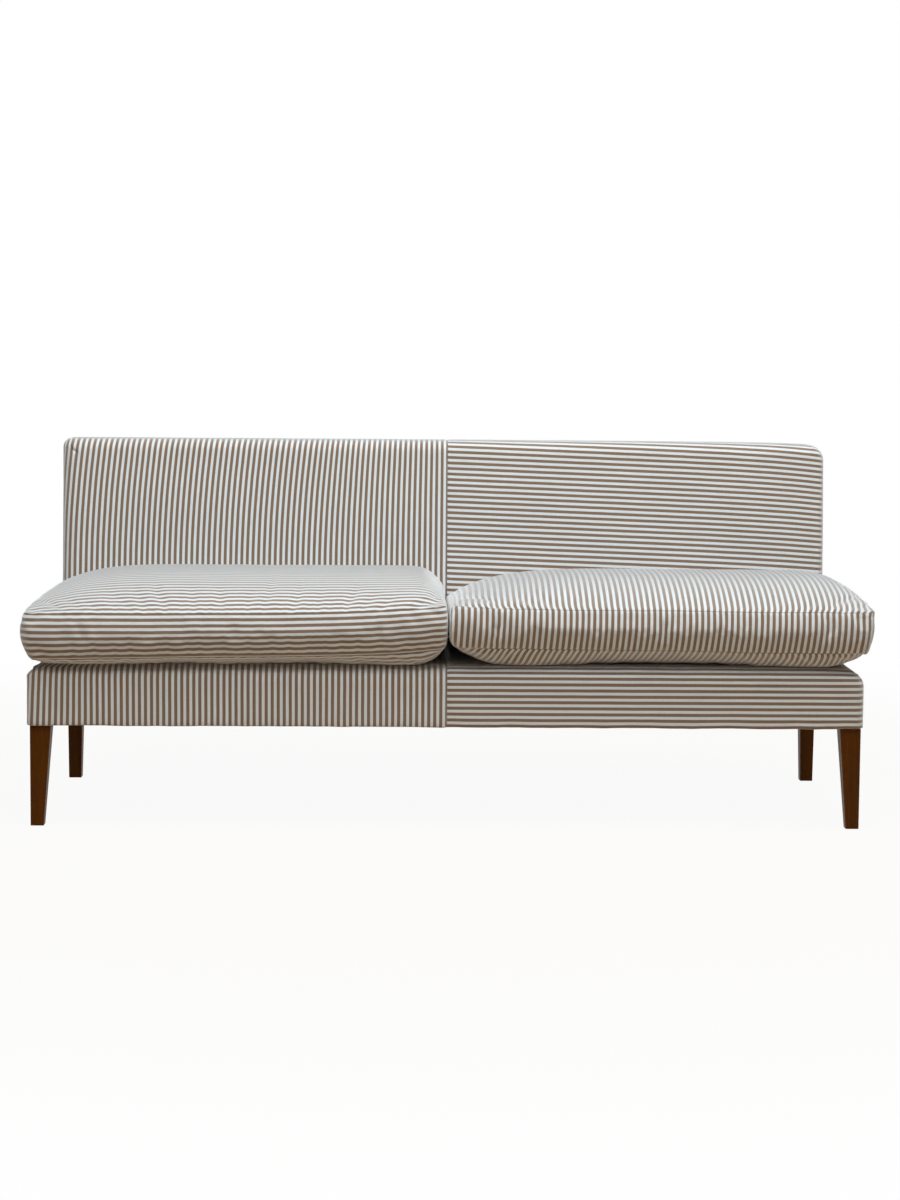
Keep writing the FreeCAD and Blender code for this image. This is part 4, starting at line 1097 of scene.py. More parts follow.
class Cushion:
    """A boxed cushion: a crowned top, a softer underside and a strip round its sides."""

    rear_bulge = 1.5 * MM

    def __init__(self, sizes, side, low, far, step, seam_heights, settled, pressed_bulge=0.0):
        self.sizes = sizes
        self.side = side
        self.inwards = -SIDES[side]
        self.low = low
        self.far = far
        self.settled = settled
        self.bulge = sizes.boxing_bulge
        self.pressed_bulge = pressed_bulge
        ends = (settled.outer_bulge, settled.inner_bulge)
        self.first_bulge, self.last_bulge = ends if side == "left" else ends[::-1]
        self.width = far.x - low.x - sum(ends)
        self.depth = far.y - low.y - self.bulge - self.rear_bulge
        self.lower, self.upper = seam_heights
        self.across = self.stations(self.width, step)
        self.inward = self.stations(self.depth, step)

    def stations(self, span, step):
        """Distances over a span, closer together beside the seams."""
        beside = [0.0, 4 * MM, 9 * MM]
        between = np.linspace(beside[-1], span - beside[-1], round(span / step) + 1)
        return np.concatenate([beside[:-1], between, [span - distance for distance in reversed(beside[:-1])]])

    def inset(self, distance, span):
        """How far a side stands in from a straight line: round at its corners, drawn in between them."""
        corner = self.sizes.cushion_corner
        start = corner * (1 - math.sqrt(0.5))
        along = start + distance / span * (span - 2 * start)
        near = np.minimum(along, span - along)
        rounding = corner - np.sqrt(np.maximum(corner**2 - np.maximum(corner - near, 0) ** 2, 0))
        return along, rounding + self.sizes.side_draw * np.sin(math.pi * distance / span) ** 2

    def plan(self):
        """The panel's points seen from above, as a grid of rows from the front to the rear."""
        across, front_in = self.inset(self.across, self.width)
        inward, side_in = self.inset(self.inward, self.depth)
        share_x = (self.across / self.width)[None, :]
        share_y = (self.inward / self.depth)[:, None]
        plan_x = (
            across[None, :]
            + (1 - share_x) * side_in[:, None]
            + share_x * (self.width - side_in[:, None])
            - ((1 - share_x) * across[0] + share_x * across[-1])
        )
        plan_y = (
            (1 - share_y) * front_in[None, :]
            + share_y * (self.depth - front_in[None, :])
            + inward[:, None]
            - ((1 - share_y) * front_in[0] + share_y * inward[-1])
        )
        return np.stack([self.low.x + self.first_bulge + plan_x, self.low.y + self.bulge + plan_y], axis=-1)

    def from_outer(self):
        """How far each station across the width is from the cushion's outer end."""
        return self.across if self.side == "left" else self.width - self.across

    def rise(self, outer, inner, front, rear):
        """The share of a crown at each point of a panel."""
        from_outer = self.from_outer()
        sideways = rounded_rise(from_outer, *outer) * rounded_rise(self.width - from_outer, *inner)
        inwards = rounded_rise(self.inward, front) * rounded_rise(self.depth - self.inward, rear)
        return inwards[:, None] * sideways[None, :]

    def seam_arch(self):
        """How far the upper seam is pushed up along the ends, and sinks at the inner end's rear corner."""
        settled = self.settled
        from_outer = self.from_outer()
        share = self.inward / self.depth
        outer_reach = 50 * MM
        inner_reach = 70 * MM
        near_outer = np.exp(-((from_outer / outer_reach) ** 2))
        near_inner = np.exp(-(((self.width - from_outer) / inner_reach) ** 2))
        pushed = settled.outer_arch * near_outer + settled.inner_arch * near_inner
        arched = np.outer(np.sin(math.pi * share) ** 0.6, pushed)
        return arched - settled.rear_droop * np.outer(share**2, near_inner)

    def seam_sag(self, plan, lie):
        """How far a seam stands above or below its level: it lies with the filling and wanders a little."""
        if lie is None:
            return np.zeros(plan.shape[:2])
        seed = 21.0 if self.side == "left" else 27.0
        most = 1.6 * MM
        apart = 0.19
        wander = np.array([[most * ripple(x / apart, y / apart, seed) for x, y in row] for row in plan])
        return lie(self.from_outer() / self.width)[None, :] + wander

    def cloth_places(self, across, inward):
        """Places on the flat cloth: stripes run from side to side on the left, front to back on the right."""
        if self.side == "left":
            return np.stack([inward, across], axis=-1)
        return np.stack([across, inward], axis=-1)

    def panel(self, plan, heights, skew=0.0):
        """A top or bottom panel; the skew slants its stripes."""
        across = np.broadcast_to(self.across[None, :], heights.shape)
        inward = np.broadcast_to(self.inward[:, None], heights.shape)
        sides = np.stack([inward, self.depth - inward, across, self.width - across])
        nearest = sides.argmin(axis=0)
        run = np.where(nearest < 2, across, inward + 5)
        midway = heights[:, heights.shape[1] // 2]
        travel = lengths_along(np.stack([self.inward, midway], axis=1))
        cloth = self.cloth_places(across + skew * inward, np.broadcast_to(travel[:, None], heights.shape))
        points = np.concatenate([plan, heights[..., None]], axis=-1)
        return Panel(points, cloth, sides.min(axis=0), run)

    def ring(self, grid):
        """A panel's edge, from its rear left corner round the front to the rear."""
        return np.concatenate([grid[::-1, 0], grid[0, 1:], grid[1:, -1], grid[-1, -2::-1]])

    def outward(self, edge):
        """The way out at each point of a panel's edge."""
        ahead = np.roll(edge[:-1], -1, axis=0)
        behind = np.roll(edge[:-1], 1, axis=0)
        along = ahead - behind
        out = np.stack([along[:, 1], -along[:, 0]], axis=1)
        out = out / np.linalg.norm(out, axis=1, keepdims=True)
        return np.concatenate([out, out[:1]])

    def standing_out(self, out):
        """How far the strip stands out where it faces each way."""
        toward_rear = np.clip(out[:, 1], 0, 1)
        toward_other = np.clip(out[:, 0] * self.inwards, 0, 1)
        toward_outer = np.clip(-out[:, 0] * self.inwards, 0, 1)
        bulge = self.bulge + (self.rear_bulge - self.bulge) * toward_rear
        bulge += (self.settled.inner_bulge + self.pressed_bulge - self.bulge) * toward_other
        bulge += (self.settled.outer_bulge - self.bulge) * toward_outer
        return bulge

    def boxing(self, plan, upper_sag, lower_sag):
        """The strip round the sides."""
        edge = self.ring(plan)
        under = self.ring(self.tucked(plan))
        out = self.outward(edge)
        bulge = self.standing_out(out)
        front = self.across[1:]
        far_end = self.width + self.inward[1:]
        rear = self.width + self.depth + self.width - self.across[-2::-1]
        travel = np.concatenate([-self.inward[::-1], front, far_end, rear])
        half = (self.upper - self.lower) / 2
        spaced = np.array([0, 6, 8.5, 15, 22, 29, 35, 40, 45])
        levels = spaced / spaced[-1] * half
        levels = np.concatenate([-levels[:0:-1], levels])
        full = np.cos(levels / half * math.pi / 2)
        points = np.zeros((len(levels), len(edge), 3))
        share = ((levels + half) / (2 * half))[:, None]
        drawn = (1 - share[..., None]) ** 2 * (under - edge)[None]
        points[..., :2] = edge[None] + drawn + full[:, None, None] * bulge[None, :, None] * out[None]
        top = self.upper + self.ring(upper_sag)[None, :]
        bottom = self.lower + self.ring(lower_sag)[None, :]
        points[..., 2] = bottom + share * (top - bottom)
        bowed_by = 1.08
        below_seam = np.broadcast_to((levels - half)[:, None], points.shape[:2]) * bowed_by
        gone = np.array([lengths_along(row) for row in points])
        front_middle = len(self.inward) + len(self.across) // 2
        gone -= gone[:, [front_middle]]
        runs = travel[None, :] + gone - gone[-1:]
        cloth = np.stack([below_seam, runs] if self.side == "left" else [runs, below_seam], axis=-1)
        return Panel(points, cloth, np.broadcast_to((half - np.abs(levels))[:, None], points.shape[:2]), runs)

    def panels(self, crest):
        """All the panels, before the cushion is filled up to a crest."""
        settled = self.settled
        plan = self.plan()
        upper_sag = self.seam_sag(plan, settled.upper_seam) + self.seam_arch()
        lower_sag = self.seam_sag(plan, settled.lower_seam)
        front = self.sizes.front_reach
        under = self.sizes.bottom_reach
        top_rise = self.rise(*settled.rises, front, 0.9 * front)
        under_rise = self.rise(*settled.unders, under, under)
        top = (self.upper + upper_sag) * (1 - top_rise) + crest * top_rise
        bottom = (self.lower + lower_sag) * (1 - under_rise) + self.low.z * under_rise
        return [
            self.panel(plan, top),
            self.panel(self.tucked(plan), bottom, settled.skew),
            self.boxing(plan, upper_sag, lower_sag),
        ]

    def tucked(self, plan):
        """The underside's plan, which is drawn in from the top's."""
        settled = self.settled
        share_x = self.from_outer() / self.width
        share_y = self.inward / self.depth
        drawn_x = self.inwards * (settled.outer_tuck * (1 - share_x) - settled.inner_tuck * share_x)
        drawn_y = settled.outer_tuck * (1 - 2 * share_y)
        return plan + np.stack(np.meshgrid(drawn_x, drawn_y), axis=-1)

    def middle(self):
        """A point well inside."""
        return (self.low + self.far) / 2


def seam_group(piece):
    """Marks the seam's points, so that filling the cushion doesn't move them."""
    group = piece.vertex_groups.new(name="seams")
    from_seam = read_attribute(piece.data, "from_seam")
    group.add([int(index) for index in np.flatnonzero(from_seam < 0.01 * MM)], 1.0, "REPLACE")
    return group.name


def fill_cushion(scene, piece, limit):
    """Fills a cushion: its cloth swells between the seams, and no point moves further than the limit."""
    frames = 18
    rest = read_points(piece.data, "co")
    cloth = piece.modifiers.new("filling", "CLOTH")
    settings = cloth.settings
    settings.quality = 6
    settings.mass = 0.25
    settings.tension_stiffness = 18
    settings.compression_stiffness = 8
    settings.shear_stiffness = 6
    settings.bending_stiffness = 0.3
    settings.shrink_min = -0.035
    settings.use_pressure = True
    settings.uniform_pressure_force = 4
    settings.vertex_group_mass = seam_group(piece)
    settings.effector_weights.gravity = 0
    cloth.collision_settings.use_collision = False
    cloth.collision_settings.use_self_collision = False
    cloth.point_cache.frame_start = 1
    cloth.point_cache.frame_end = frames
    for number in range(1, frames + 1):
        scene.frame_set(number)
    filled = piece.evaluated_get(bpy.context.evaluated_depsgraph_get())
    moved = read_points(filled.data, "co") - rest
    piece.modifiers.remove(cloth)
    piece.vertex_groups.clear()
    scene.frame_set(1)
    distance = np.linalg.norm(moved, axis=1, keepdims=True)
    eased = limit * np.tanh(distance / limit)
    write_points(piece.data, rest + moved * eased / np.maximum(distance, 1e-9))


def held_in(places, limit, give):
    """Places that swell past a limit, slowed down so that none goes further than the give."""
    past = np.maximum(places - limit, 0)
    return np.minimum(places, limit) + give * np.tanh(past / give)


def settle_cushion(piece, cushion):
    """Rests a filled cushion on the deck, and keeps it off the back and the other cushion."""
    points = read_points(piece.data, "co")
    points[:, 2] = np.maximum(points[:, 2], cushion.low.z)
    give = 8 * MM
    slack = 4 * MM
    points[:, 1] = -held_in(-points[:, 1], slack - give - cushion.low.y, give)
    points[:, 1] = np.minimum(points[:, 1], cushion.far.y - 0.5 * MM)
    points[:, 0] = -held_in(-points[:, 0], slack - give - cushion.low.x, give)
    points[:, 0] = held_in(points[:, 0], cushion.far.x + slack - give, give)
    meeting = 4 * MM
    half_gap = 0.8 * MM
    if cushion.side == "left":
        points[:, 0] = np.minimum(points[:, 0], meeting - half_gap)
    else:
        points[:, 0] = np.maximum(points[:, 0], meeting + half_gap)
    write_points(piece.data, points)


def work_seams(piece, cushion):
    """Pulls the seams in, gathers the cloth beside them, and pinches the corners into ears."""
    sizes = cushion.sizes
    data = piece.data
    points = read_points(data, "co")
    normals = read_points(data, "normal")
    from_seam = read_attribute(data, "from_seam")
    run = read_attribute(data, "run")
    seed = 41.0 if cushion.side == "left" else 47.0
    gather_reach = 14 * MM
    groove_reach = 4 * MM
    dent_depth = 0.9 * MM
    crown_start = 30 * MM
    for index in range(len(points)):
        beside = math.exp(-from_seam[index] / gather_reach)
        gather = ripple(run[index] / 0.011, from_seam[index] / 0.05, seed)
        gather += 0.6 * ripple(run[index] / 0.027, from_seam[index] / 0.08, seed + 3)
        groove = max(1 - from_seam[index] / groove_reach, 0)
        dent = dent_depth * ripple(points[index, 0] / 0.16, points[index, 1] / 0.13, seed + 6)
        on_top = min(max((points[index, 2] - cushion.upper) / crown_start, 0), 1)
        move = sizes.pucker * gather * beside * (1 - groove) - sizes.seam_depth * groove + dent * on_top
        points[index] += normals[index] * move
    pinch_corners(points, cushion)
    write_points(data, points)


def pinch_corners(points, cushion):
    """Pulls the corners of a cushion's seams out into ears."""
    inset = 5 * MM
    reach = np.array((18 * MM, 18 * MM, 9 * MM))
    ends = ((cushion.low.x + cushion.first_bulge, -1), (cushion.far.x - cushion.last_bulge, 1))
    sides = ((cushion.low.y + cushion.bulge, -1), (cushion.far.y, 0))
    seams = ((cushion.lower, 0.4), (cushion.upper, 1.0))
    for (corner_x, way_x), (corner_y, way_y), (height, share) in itertools.product(ends, sides, seams):
        tip = np.array((corner_x - way_x * inset, corner_y - way_y * inset, height))
        away = np.linalg.norm((points - tip) / reach, axis=1)
        pull = share * cushion.sizes.ear * np.exp(-(away**2))
        points += pull[:, None] * np.array((way_x * 0.75, way_y * 0.75, 0.25))


def sink_zip(piece, zip_low, zip_far):
    """Presses a channel for the zip into the rear of a cushion's strip."""
    points = read_points(piece.data, "co")
    reach = 4 * MM
    half_height = 7 * MM
    clearance = 0.9 * MM
    middle = (zip_low.z + zip_far.z) / 2
    at_rear = points[:, 1] > zip_low.y - reach
    along = (points[:, 0] > zip_low.x) & (points[:, 0] < zip_far.x)
    level = np.abs(points[:, 2] - middle) < half_height
    floor = zip_low.y - clearance
    sunk = at_rear & along & level
    points[sunk, 1] = np.minimum(points[sunk, 1], floor)
    write_points(piece.data, points)


# What repeats


def repeating_tree(name, shape):
    """A tree that sets a small shape at even spaces along a path, turned with it."""
    tree = bpy.data.node_groups.new(name, "GeometryNodeTree")
    face = tree.interface
    face.new_socket("Path", in_out="INPUT", socket_type="NodeSocketGeometry")
    defaults = {"Spacing": 0.01, "Length": 0.005, "Width": 0.001, "Height": 0.001, "Sway": 0.0}
    for socket, default in defaults.items():
        face.new_socket(socket, in_out="INPUT", socket_type="NodeSocketFloat").default_value = default
    face.new_socket("Finish", in_out="INPUT", socket_type="NodeSocketMaterial")
    face.new_socket("Mesh", in_out="OUTPUT", socket_type="NodeSocketGeometry")
    net = Net(tree)
    inputs = tree.nodes.new("NodeGroupInput")
    given = {socket.name: Value(net, socket) for socket in inputs.outputs}
    curve = net.node("GeometryNodeMeshToCurve", {}, {0: given["Path"]})
    spaced = {"Curve": curve, "Length": given["Spacing"]}
    points = net.node("GeometryNodeCurveToPoints", {"mode": "LENGTH"}, spaced)
    tangent = Value(net, points.socket.node.outputs["Tangent"])
    turned = net.node("FunctionNodeAlignRotationToVector", {"axis": "X"}, {"Vector": tangent})
    between = {2: 0 - given["Sway"], 3: given["Sway"], "Seed": 7}
    sway = net.node("FunctionNodeRandomValue", {"data_type": "FLOAT"}, between, 1)
    swing = net.node("ShaderNodeCombineXYZ", {}, {"Y": sway, "Z": sway})
    swayed = net.node("FunctionNodeRotateRotation", {"rotation_space": "LOCAL"}, {0: turned, 1: swing})
    kind, sockets = shape
    small = net.node(kind, {}, sockets)
    scale = net.node(
        "ShaderNodeCombineXYZ", {}, {"X": given["Length"], "Y": given["Width"], "Z": given["Height"]}
    )
    placing = {"Points": points, "Instance": small, "Rotation": swayed, "Scale": scale}
    placed = net.node("GeometryNodeInstanceOnPoints", {}, placing)
    real = net.node("GeometryNodeRealizeInstances", {}, {0: placed})
    dressed = net.node("GeometryNodeSetMaterial", {}, {"Geometry": real, "Material": given["Finish"]})
    result = tree.nodes.new("NodeGroupOutput")
    net.feed(result.inputs[0], dressed)
    return tree


BEAD = ("GeometryNodeMeshUVSphere", {"Segments": 8, "Rings": 5, "Radius": 0.5})
BLOCK = ("GeometryNodeMeshCube", {"Size": (1, 1, 1)})


def path_mesh(name, paths):
    """Lines of points as a mesh with no faces."""
    points = []
    edges = []
    for path in paths:
        first = len(points)
        points += [tuple(point) for point in path]
        edges += [(first + index, first + index + 1) for index in range(len(path) - 1)]
    data = bpy.data.meshes.new(name)
    data.from_pydata(points, edges, [])
    return data


def repeat_along(scene, name, paths, shape, sizes, slot, body):
    """A piece made of small shapes set along paths."""
    tree = repeating_tree(name, shape)
    carrier = bpy.data.objects.new(name + "_path", path_mesh(name + "_path", paths))
    scene.collection.objects.link(carrier)
    modifier = carrier.modifiers.new("repeat", "NODES")
    modifier.node_group = tree
    identifiers = {item.name: item.identifier for item in tree.interface.items_tree if item.in_out == "INPUT"}
    for socket, value in sizes.items():
        modifier[identifiers[socket]] = value
    modifier[identifiers["Finish"]] = finish_for(scene, slot)
    seen = carrier.evaluated_get(bpy.context.evaluated_depsgraph_get())
    data = bpy.data.meshes.new_from_object(seen)
    data.name = name
    bpy.data.objects.remove(carrier)
    if not data.polygons:
        raise RuntimeError(f"{name} came out empty")
    data.shade_smooth()
    add_piece(scene, name, data, slot, body)


# Pieces


class BanquetteOperator(bpy.types.Operator):
    """Shared by the pieces' operators."""

    bl_options = {"REGISTER", "UNDO"}


class BANQUETTE_OT_frame(BanquetteOperator):
    """Gives the legs, the frame, its fixings and the webbing their finishes"""

    bl_idname = "banquette.frame"
    bl_label = "Frame and legs"

    def execute(self, context):
        kept = {"stained_leg", "frame_wood", "tenon_wood", "screw_steel", "webbing"}
        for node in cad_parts.values():
            slot = node.material_slots[0].material.name.split(".")[0]
            if slot in kept:
                node.material_slots[0].material = finish_for(context.scene, slot)
        return {"FINISHED"}


class BANQUETTE_OT_padding(BanquetteOperator):
    """Makes the hessian, foam and wadding under the covers"""

    bl_idname = "banquette.padding"
    bl_label = "Padding"

    # How wide and how high its rounding is, and its corner seen from above
    wadded_edge = (27 * MM, 27 * MM, 24 * MM)

    def flat_sheet(self, scene, name, node, tip, webbing):
        """A stretched sheet over a node's outline, tipped back by a slope."""
        low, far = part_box(node)
        across = np.linspace(low.x, far.x, 45)
        first, last = (low.z, far.z) if tip else (low.y, far.y)
        onward = np.linspace(first, last, 15)

        def spot(distance, place):
            slack = 0.15 * MM * ripple(place / 0.03, distance / 0.03, seed=5)
            if tip:
                return place, low.y + 0.4 * MM + tip * (distance - low.z) + slack, distance
            return place, distance, (low.z + far.z) / 2 + 0.3 * MM + slack * 0.3

        points = grid_of(onward, across, spot)
        cloth = np.stack(np.meshgrid(across, onward), axis=-1)
        inside = (0, low.y + 1, low.z) if tip else (0, 0, low.z - 1)
        piece = add_sewn(scene, name, [Panel(points, cloth, 1.0)], inside, "hessian", "frame", node)
        thicken(piece, 0.6 * MM)

    def slab(self, scene, name, node, low, far, tip=0.0):
        """A soft slab of foam with rounded edges, tipped back by a slope."""
        seams = (low.z + 2 * MM, low.z + 6 * MM)
        slab = Cushion(scene.banquette_sizes, "left", low, far, 30 * MM, seams, PLAIN_SLAB)
        panels = slab.panels(far.z)
        for panel in panels:
            panel.points[..., 1] += tip * (panel.points[..., 2] - low.z)
        piece = add_sewn(scene, name, panels, slab.middle(), "foam", "frame", node)

    def execute(self, context):
        scene = context.scene
        seat_webbing = ["seat_webbing_crosswise", "seat_webbing_lengthwise"]
        self.flat_sheet(scene, "seat_hessian_sheet", "seat_hessian", 0.0, seat_webbing)
        low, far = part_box("back_cover_right")
        tip = BACK_LEAN / (far.z - low.z)
        back_webbing = ["back_webbing_upright", "back_webbing_across"]
        self.flat_sheet(scene, "back_hessian_sheet", "back_hessian", tip, back_webbing)
        low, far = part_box("seat_foam")
        near = low + Vector((7 * MM, 7 * MM, 0.3 * MM))
        away = far - Vector((7 * MM, 1 * MM, 2.5 * MM))
        self.slab(scene, "seat_foam_slab", "seat_foam", near, away)
        low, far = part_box("back_foam")
        near = Vector((low.x + 6 * MM, low.y + 5 * MM, low.z + 1 * MM))
        away = Vector((far.x - 6 * MM, low.y + 46 * MM, far.z - 26 * MM))
        self.slab(scene, "back_foam_slab", "back_foam", near, away, tip)
        self.wadding(scene)
        return {"FINISHED"}

    def wadding_half(self, half):
        """The wadding under one half of the seat's cover."""
        rail = np.linspace(half.hem + 6 * MM, half.cut - 2 * MM, 8)

        def spot(column, level):
            soft = 0.5 * MM * ripple(half.wrap.travel(column) / 0.02, level / 0.02, half.seed)
            return half.place(*half.wrap.spot(column, 3 * MM + soft), level)

        points = grid_of(half.columns, rail, spot)
        return Panel(points, points[..., :2], 1.0)

    def wadding(self, scene):
        """Fibre wadding round the seat's rails, under the cover."""
        halves = [SeatHalf(scene.banquette_sizes, side, *self.wadded_edge) for side in SIDES]
        panels = [self.wadding_half(half) for half in halves]
        name = "rail_wadding_layer"
        piece = add_sewn(scene, name, panels, (0, 0, 0.26), "wadding", "frame", "rail_wadding")
        thicken(piece, 2.2 * MM)


class BANQUETTE_OT_seat(BanquetteOperator):
    """Makes the two halves of the seat's cover, sewn together at the middle"""

    bl_idname = "banquette.seat"
    bl_label = "Seat cover"

    # How wide and how high the rounding at each end is, and the corner seen from above
    ends = {"left": (42 * MM, 25 * MM, 14 * MM), "right": (60 * MM, 41 * MM, 22 * MM)}

    def execute(self, context):
        scene = context.scene
        sizes = scene.banquette_sizes
        for side, (wide, high, corner) in self.ends.items():
            half = SeatHalf(sizes, side, wide, high, corner)
            name = "seat_ticking_" + side
            inside = (half.sign * 0.45, 0, half.hem + 40 * MM)
            piece = add_sewn(scene, name, half.panels(), inside, "ticking", "frame", "seat_cover_" + side)
            thicken(piece, sizes.cloth_thickness)
        return {"FINISHED"}


class BANQUETTE_OT_back(BanquetteOperator):
    """Makes the two halves of the back's cover, sewn together at the middle"""

    bl_idname = "banquette.back"
    bl_label = "Back cover"

    def execute(self, context):
        scene = context.scene
        sizes = scene.banquette_sizes
        for side in SIDES:
            half = BackHalf(sizes, side)
            name = "back_ticking_" + side
            inside = (half.sign * 0.45, 0.29, 0.55)
            piece = add_sewn(scene, name, half.panels(), inside, "ticking", "frame", "back_cover_" + side)
            thicken(piece, sizes.cloth_thickness)
        return {"FINISHED"}


class BANQUETTE_OT_outside_back(BanquetteOperator):
    """Makes the panels that close the back from behind, and the stitches that hold them"""

    bl_idname = "banquette.outside_back"
    bl_label = "Outside back"

    def execute(self, context):
        scene = context.scene
        for side in SIDES:
            node = "outside_back_" + side
            low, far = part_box(node)
            half = BackHalf(scene.banquette_sizes, side)
            name = "outside_back_panel_" + side
            panels = [self.panel(half, low, far)]
            piece = add_sewn(scene, name, panels, (0, 0, 0.5), "ticking", "frame", node)
            thicken(piece, 1.0 * MM)
            self.stitches(scene, half, side, low, far)
        return {"FINISHED"}

    def panel(self, half, low, far):
        """The cloth, gathered a little beside its edges."""
        beside_end = np.linspace(0.3, 40, 14) * MM
        from_end = np.concatenate([beside_end, np.linspace(50 * MM, far.x - low.x - 0.3 * MM, 86)])
        across = np.sort(low.x + from_end if half.sign < 0 else far.x - from_end)
        upward = np.linspace(0, 1, 61)
        gather_depth = 0.5 * MM
        slack_depth = 0.6 * MM
        level = far.y - 0.9 * MM
        points = np.zeros((len(upward), len(across), 3))
        from_edge = np.zeros((len(upward), len(across)))
        for column, place in enumerate(across):
            top = self.top(half, place, low, far)
            for row, share in enumerate(upward):
                height = low.z + share * (top - low.z)
                edge = min(place - low.x, far.x - place, height - low.z, top - height)
                gather = gather_depth * ripple((place + height) / 0.012, edge / 0.08, seed=61)
                slack = slack_depth * ripple(place / 0.2, height / 0.16, seed=66)
                out = gather * math.exp(-edge / 0.02) + slack * min(edge / 0.04, 1)
                points[row, column] = (place, level + out, height)
                from_edge[row, column] = edge
        cloth = points[..., [0, 2]] if half.sign < 0 else points[..., [2, 0]]
        return Panel(points, cloth, from_edge)

    def top(self, half, place, low, far):
        """The height of the panel's edge, which keeps a little below the cover's outline."""
        from_end = far.x - place if half.sign > 0 else place - low.x
        return min(far.z, half.outline_top(from_end) - 4 * MM)

    def stitches(self, scene, half, side, low, far):
        """A line of slip stitches round the panel."""
        edge = far.y - 0.4 * MM
        inset = 1.5 * MM
        from_end = np.concatenate([np.linspace(1.5, 40, 8) * MM, [far.x - low.x - inset]])
        places = low.x + from_end if side == "left" else far.x - from_end
        path = [(places[0], edge, low.z + inset)]
        for place in places:
            path.append((place, edge, self.top(half, place, low, far) - inset))
        sizes = {"Spacing": 11 * MM, "Length": 6 * MM, "Width": 0.8 * MM, "Height": 0.8 * MM, "Sway": 0.18}
        repeat_along(scene, "slip_stitches_" + side, [path], BEAD, sizes, "sewing_thread", "frame")


class BANQUETTE_OT_dust_cover(BanquetteOperator):
    """Makes the black cloth under the seat and its staples"""

    bl_idname = "banquette.dust_cover"
    bl_label = "Dust cover"

    def execute(self, context):
        scene = context.scene
        low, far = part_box("dust_cover")
        front_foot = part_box("front_right_leg")
        rear_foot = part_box("rear_right_post")
        margin = 3 * MM
        post_to_notch = 37 * MM
        notch_x = front_foot[0].x - margin
        notch_front = front_foot[1].y + margin
        notch_rear = rear_foot[0].y + post_to_notch
        across = np.unique(np.concatenate([np.linspace(-notch_x, notch_x, 73), [low.x, far.x]]))
        inward = np.unique(np.concatenate([np.linspace(notch_front, notch_rear, 25), [low.y, far.y]]))

        def spot(line, place):
            return place, line, self.level(place, line, low, far)

        panels = []
        for row in range(len(inward) - 1):
            notched = 1 if row in (0, len(inward) - 2) else 0
            strip = grid_of(inward[row : row + 2], across[notched : len(across) - notched], spot)
            panels.append(Panel(strip, strip[..., :2], 1.0))
        name = "dust_cover_sheet"
        piece = add_sewn(scene, name, panels, (0, 0, 0.5), "dust_cloth", "frame", "dust_cover")
        thicken(piece, 0.4 * MM)
        self.staples(scene, low, far, notch_x, notch_front, notch_rear)
        return {"FINISHED"}

    def level(self, place, inward, low, far):
        """The height of the cloth, which hangs a little between the rails."""
        from_rail = min(place - low.x, far.x - place, inward - low.y, far.y - inward)
        rail_width = 26 * MM
        hang_depth = 4.5 * MM
        gather_depth = 0.25 * MM
        past_rail = from_rail - rail_width
        hang = 1 - math.exp(-max(past_rail, 0) / 0.11)
        gather = ripple((place + inward) / 0.02, from_rail / 0.1, seed=71) * math.exp(-abs(past_rail) / 0.02)
        return low.z - hang_depth * hang + gather_depth * gather

    def staples(self, scene, low, far, notch_x, notch_front, notch_rear):
        """Staples along the rails."""
        inset = 11 * MM
        level = low.z - 0.55 * MM
        near = low.y + inset
        away = far.y - inset
        side = far.x - inset
        paths = [
            [(-notch_x + inset, near, level), (notch_x - inset, near, level)],
            [(-notch_x + inset, away, level), (notch_x - inset, away, level)],
            [(-side, notch_front + inset, level), (-side, notch_rear - inset, level)],
            [(side, notch_front + inset, level), (side, notch_rear - inset, level)],
        ]
        sizes = {"Spacing": 48 * MM, "Length": 11 * MM, "Width": 0.9 * MM, "Height": 0.6 * MM, "Sway": 0.12}
        repeat_along(scene, "dust_cover_staples", paths, BLOCK, sizes, "screw_steel", "frame")


class BANQUETTE_OT_cushions(BanquetteOperator):
    """Makes the two loose cushions: their covers, filled and sewn, and the pads inside"""

    bl_idname = "banquette.cushions"
    bl_label = "Cushions"

    def execute(self, context):
        scene = context.scene
        sizes = scene.banquette_sizes
        for side in SIDES:
            low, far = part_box(side + "_cushion_cover")
            low.y -= sizes.overhang
            far.x += sizes.spread * (side == "right")
            lower = low.z + sizes.bottom_crown
            seams = (lower, lower + sizes.boxing_height)
            settled = SETTLED[side]
            cushion = Cushion(sizes, side, low, far, 9 * MM, seams, settled, pressed_bulge=12 * MM)
            panels = cushion.panels(cushion.upper + sizes.top_crown - settled.crest_drop)
            name = side + "_cushion_ticking"
            node = side + "_cushion_cover"
            body = side + "_cushion"
            piece = add_sewn(scene, name, panels, cushion.middle(), "ticking", body, node)
            fill_cushion(scene, piece, sizes.swell_limit)
            work_seams(piece, cushion)
            settle_cushion(piece, cushion)
            sink_zip(piece, *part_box(side + "_cushion_zip"))
            subdivide(piece)
            self.pad(scene, side, body)
        return {"FINISHED"}

    def pad(self, scene, side, body):
        """The filling's cotton case, inside the cover."""
        sizes = scene.banquette_sizes
        low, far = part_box(side + "_cushion_pad")
        low = low + Vector((5 * MM, 5 * MM, 4 * MM))
        far = far - Vector((5 * MM, 8 * MM, 16 * MM))
        lower = low.z + sizes.bottom_crown
        seams = (lower, lower + sizes.boxing_height - 10 * MM)
        pad = Cushion(sizes, side, low, far, 32 * MM, seams, SETTLED[side])
        panels = pad.panels(pad.upper + sizes.top_crown - 14 * MM)
        name = side + "_cushion_filling"
        node = side + "_cushion_pad"
        piece = add_sewn(scene, name, panels, pad.middle(), "cushion_pad", body, node)
        subdivide(piece)


